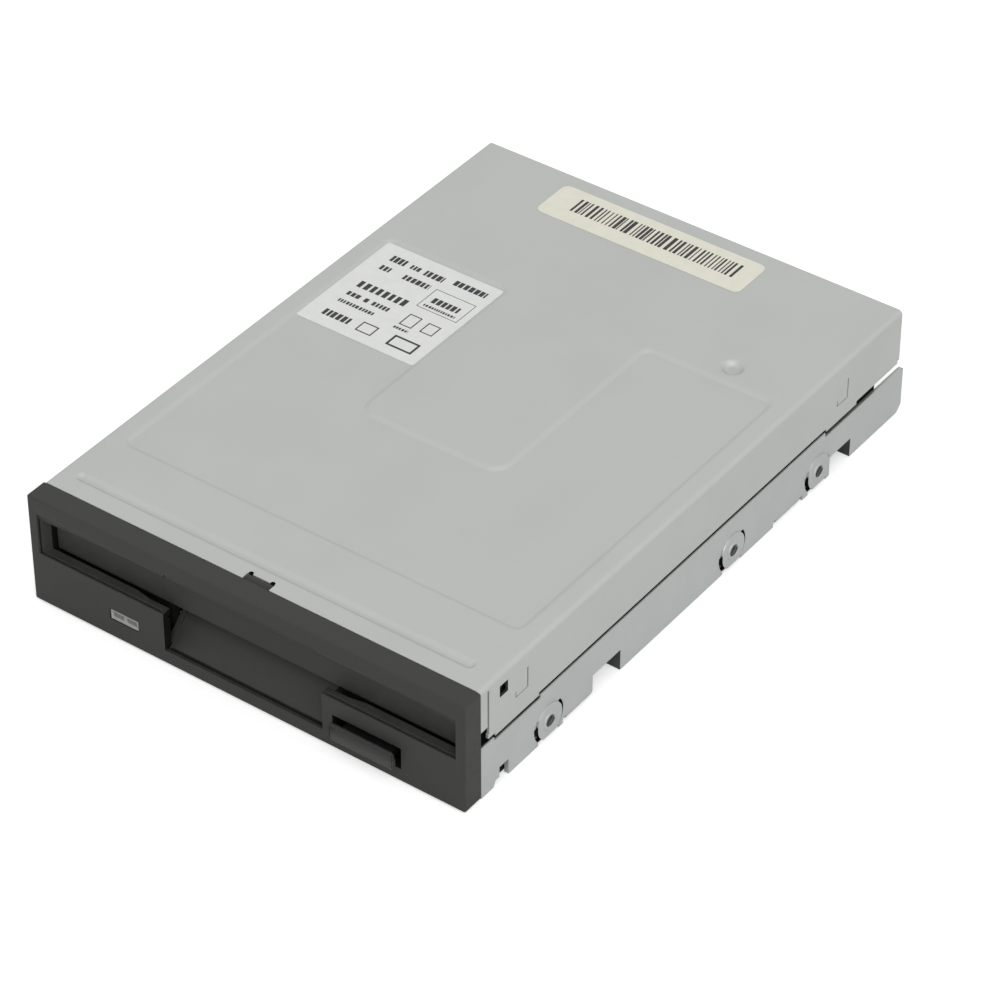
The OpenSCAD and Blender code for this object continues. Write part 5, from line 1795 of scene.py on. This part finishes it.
@dataclass
class ChipPackage:
    """A chip under the board, with bent leads along two sides."""

    node: str
    name: str
    x: Span
    t: Span
    first: float
    pitch: float
    count: int
    z: Span = (0.6, 1.85)
    board: float = 2.0
    draft: float = 0.24
    mark: Place = (1.3, 0.5, 0.24)
    lead_half: Span = (0.22, 0.08)

    def body(self) -> Thing:
        """Models the moulded body with its drafted sides and a round mark at its first lead.

        Returns:
            The body.
        """
        waist = sum(self.z) / 2
        body = add_box(self.name, self.x, self.t, self.z)
        with open_mesh(body):
            cut_through(at(0, 0, waist), (0, 0, 1))
            shrink = [1 - self.draft / (span[1] - span[0]) for span in (self.x, self.t)]
            for end in self.z:
                pick(Part.VERT, lambda p, n: abs(p.z - end) < NEAR)
                bpy.ops.transform.resize(value=(*shrink, 1))
        inward, radius, depth = self.mark
        carve(body, add_rod("mark", at(self.x[0] + inward, self.t[0] + inward, self.z[0]), radius, depth, Axis.Z))
        soften(body, 0.08)
        dress(body, FINISHES["chip_resin"])
        return body

    def lead(self, side: int) -> Thing:
        """Models the first lead of one side, bent up to the board.

        Args:
            side: -1 for the front side, 1 for the rear.

        Returns:
            The lead.
        """
        edge = self.t[0] if side < 0 else self.t[1]
        waist, (wide, thick) = sum(self.z) / 2, self.lead_half
        lead = add_box("lead", (self.first - wide, self.first + wide),
                       tuple(sorted((edge - side * 0.2, edge + side * 0.35))), (waist - thick, waist + thick))
        with open_mesh(lead):
            pick(Part.FACE, lambda p, n: n.y * side > ALONG)
            for run, rise in ((0.3, self.board - waist - 0.09), (0.72, 0.0)):
                bpy.ops.mesh.extrude_region_move(TRANSFORM_OT_translate={"value": (0, side * run * MM, rise * MM)})
        soften(lead, 0.04, 1)
        dress(lead, FINISHES["pin_steel"])
        return lead

    def build(self) -> Thing:
        """Builds the chip.

        Returns:
            The chip.
        """
        steps = [Vector((number * self.pitch * MM, 0, 0)) for number in range(self.count)]
        leads = [lead for side in (-1, 1) for lead in copies_of(self.lead(side), steps)]
        return hand_over(join(self.body(), *leads), "frame", "chip_resin", self.node)


@dataclass
class Capacitors:
    """The small ceramic capacitors under the board, with tinned ends."""

    places: tuple[Span, ...] = ((-28.0, 83.0), (-22.0, 83.0), (-28.0, 95.0), (12.0, 81.0), (28.0, 85.0))
    size: Span = (3.2, 1.6)
    z: Span = (0.9, 2.0)
    cap: float = 0.55
    sunk: float = 0.06

    def build(self) -> Thing:
        """Models the first capacitor and copies it to its places.

        Returns:
            All capacitors as one piece.
        """
        (x, t), (wide, deep) = self.places[0], self.size
        first = add_box("board_chips", (x, x + wide), (t, t + deep), self.z)
        dress(first, FINISHES["capacitor_ceramic"], FINISHES["pin_steel"])
        middle = x + wide / 2
        with open_mesh(first):
            for cut in (x + self.cap, x + wide - self.cap):
                cut_through(at(cut, 0, 0), (1, 0, 0))
            pick(Part.FACE, lambda p, n: abs(n.x) < 0.1 and abs(p.x - middle) < wide / 2 - self.cap)
            bpy.ops.mesh.extrude_region_shrink_fatten(TRANSFORM_OT_shrink_fatten={"value": -self.sunk * MM})
            paint(first, 1, lambda p, n: abs(p.x - middle) > wide / 2 - self.cap - 0.02)
        soften(first, 0.05)
        shifts = [Vector((place[0] - x, place[1] - t, 0)) * MM for place in self.places]
        chips = join(*copies_of(first, shifts))
        chips.name = "board_chips"
        return hand_over(chips, "frame", "capacitor_ceramic", "board_capacitors")


@dataclass
class SolderJoints:
    """The soldered ends of the connectors' pins under the board."""

    board: float = 2.0
    data: tuple[float, float, int] = (17.0, 2.54, 17)
    data_rows: Span = (134.32, 136.12)
    power: tuple[float, float, int] = (-31.0, 2.5, 4)
    power_row: float = 136.52
    radius: float = 0.72
    rings: tuple[Span, ...] = ((0.06, 0.0), (0.16, 0.12), (0.12, 0.3), (0.02, 0.0), (0.08, 0.25))

    def joint(self) -> Thing:
        """Models one joint round the origin of x and t: a pad, a drawn cone of solder and the pin's tip.

        Returns:
            The joint.
        """
        joint = add_rod("solder_joints", at(0, 0, self.board - 0.03), self.radius, 0.1, Axis.Z, 14)
        with open_mesh(joint):
            for inset, drop in self.rings:
                pick(Part.FACE, lambda p, n: n.z < -ALONG and abs(p.x) < 0.05 and abs(p.y) < 0.05)
                bpy.ops.mesh.inset(thickness=inset * MM, depth=drop * MM)
        soften(joint, 0.0)
        return joint

    def build(self) -> Thing:
        """Copies the joint under every pin.

        Returns:
            All joints as one piece.
        """
        places = []
        for (middle, pitch, count), rows in ((self.data, self.data_rows), (self.power, (self.power_row,))):
            places += [(middle + pitch * (number - (count - 1) / 2), row) for number in range(count) for row in rows]
        joints = join(*copies_of(self.joint(), [Vector((x, t, 0)) * MM for x, t in places]))
        joints.name = "solder_joints"
        dress(joints, FINISHES["pin_steel"])
        return hand_over(joints, "frame", "pin_steel")


def board_pieces() -> list[ChipPackage | Capacitors | SolderJoints]:
    """Lists what sits under the main board."""
    return [ChipPackage("controller_chip", "controller_package", (-8.0, 6.0), (85.0, 99.0), -7.05, 1.74, 8),
            ChipPackage("driver_chip", "driver_package", (16.0, 25.0), (93.0, 99.0), 16.75, 1.5, 6),
            Capacitors(), SolderJoints()]


@dataclass
class FlexPiece:
    """A spring or ribbon between two bodies."""

    node: str
    name: str
    slot: str
    bodies: tuple[str, str]
    start: Place
    end: Place
    round_wire: bool = True

    def build(self) -> Thing:
        """Builds the piece from its solid and names both bodies in the log.

        Returns:
            The piece.
        """
        piece = merged_copy(self.node, self.name)
        if self.round_wire:
            apply_modifier(piece, "SUBSURF", levels=1, render_levels=1)
        soften(piece, 0.0)
        dress(piece, FINISHES[self.slot])
        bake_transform(piece)
        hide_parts(self.node)
        log.info("%s bends between %s and %s", piece.name, *self.bodies)
        return piece


def flex_pieces() -> list[FlexPiece]:
    """Lists the springs and the ribbon, each with where it leaves one body and where it meets the other."""
    return [FlexPiece("eject_springs", "slider_springs", "spring_steel", ("frame", "slider"),
                      (0, 41.6, 7.5), (0, 65.4, 7.5)),
            FlexPiece("door_spring", "flap_spring", "spring_steel", ("frame", "door"),
                      (-39.6, 5, 18.6), (-42.2, 5, 18.6)),
            FlexPiece("lever_spring", "shutter_spring", "spring_steel", ("holder", "lever"),
                      (-39.8, 84.0, 20.8), (-37.9, 95.2, 20.8)),
            FlexPiece("head_cable", "head_ribbon", "flex_film", ("frame", "carriage"),
                      (0, 130, 4.0), (0, 130, 9.0), round_wire=False)]


# Studio and run


@dataclass(frozen=True)
class Studio:
    """The floor, light and camera."""

    eye: Place = (0.37226, -0.50231, 0.50432)
    tilt: float = 51.155
    turn: float = 36.142
    lens: float = 148.475
    sensor: float = 36.0
    ambient: float = 0.67
    key: Place = (1.2, -1.05, 1.3)
    key_size: float = 2.4
    key_power: float = 27.0
    floor_size: float = 12.0
    floor_gap: float = 0.0002
    floor_glow: float = 0.45

    def camera(self) -> None:
        """Puts the camera where the photograph was taken from."""
        data = bpy.data.cameras.new("camera")
        data.lens, data.sensor_width = self.lens, self.sensor
        camera = bpy.data.objects.new("camera", data)
        camera.location = self.eye
        camera.rotation_euler = (math.radians(self.tilt), 0.0, math.radians(self.turn))
        bpy.context.scene.collection.objects.link(camera)
        bpy.context.scene.camera = camera

    def seen(self, graph: Graph, *kinds: str) -> Socket:
        """Tells which rays see a surface.

        Args:
            graph: The material's graph.
            *kinds: Outputs of the Light Path node.

        Returns:
            1 for rays of these kinds, else 0.
        """
        rays = graph.add("LightPath").outputs
        shown = rays[kinds[0]]
        for kind in kinds[1:]:
            shown = graph.math("MAXIMUM", shown, rays[kind])
        return shown

    def world(self) -> None:
        """Lights the room evenly and shows it white."""
        world = bpy.data.worlds.new("studio")
        world.use_nodes = True
        graph = Graph(world.node_tree)
        shown = self.seen(graph, "Is Camera Ray", "Is Glossy Ray", "Is Transmission Ray")
        strength = graph.ramp(shown, 0.0, 1.0, (self.ambient, 1.0))
        room = graph.add("Background", {"Color": (1.0, 1.0, 1.0, 1.0), "Strength": strength})
        graph.add("OutputWorld", {"Surface": room.outputs[0]})
        bpy.context.scene.world = world

    def lamp(self) -> None:
        """Adds the soft lamp, aimed at the drive."""
        data = bpy.data.lights.new("key", "AREA")
        data.size, data.energy = self.key_size, self.key_power
        lamp = bpy.data.objects.new("key", data)
        lamp.location = self.key
        lamp.rotation_euler = (-Vector(self.key)).to_track_quat("-Z", "Y").to_euler()
        bpy.context.scene.collection.objects.link(lamp)

    def floor(self) -> None:
        """Lays a plain white floor that keeps the drive's shadow and can't be seen from below."""
        clear_bench()
        bpy.ops.mesh.primitive_plane_add(size=self.floor_size, location=(0, 0, cad_low.z - self.floor_gap))
        floor = settle("floor")
        material = bpy.data.materials.new("floor")
        material.use_nodes = True
        graph = Graph(material.node_tree)
        shown = self.seen(graph, "Is Camera Ray", "Is Transmission Ray")
        glow = graph.ramp(shown, 0.0, 1.0, (0.0, self.floor_glow))
        upper = graph.math("SUBTRACT", 1.0, graph.add("NewGeometry").outputs["Backfacing"])
        shader = graph.add("BsdfPrincipled", {"Base Color": (0.8, 0.8, 0.8, 1), "Roughness": 0.9,
                                              "Specular IOR Level": 0.0, "Emission Color": (1, 1, 1, 1),
                                              "Emission Strength": glow, "Alpha": upper})
        graph.add("OutputMaterial", {"Surface": shader.outputs[0]})
        floor.data.materials.append(material)

    def build(self) -> None:
        """Sets up the whole studio."""
        self.camera()
        self.world()
        self.floor()
        self.lamp()
        bpy.context.scene.view_settings.view_transform = "Standard"


def main() -> None:
    """Builds the drive's pieces in order and dresses them."""
    logging.basicConfig(level=logging.INFO, format="%(name)s: %(message)s")
    Studio().build()
    dress_nodes()
    for piece in (TopCover(), Chassis(), PaintedShadeSheet(), MountThreads(), Bezel(), SlotDoor(), EjectButton(),
                  LampWindow(), MotorCan(), *labels(), *board_pieces(), *flex_pieces()):
        piece.build()


if __name__ == "__main__":
    main()
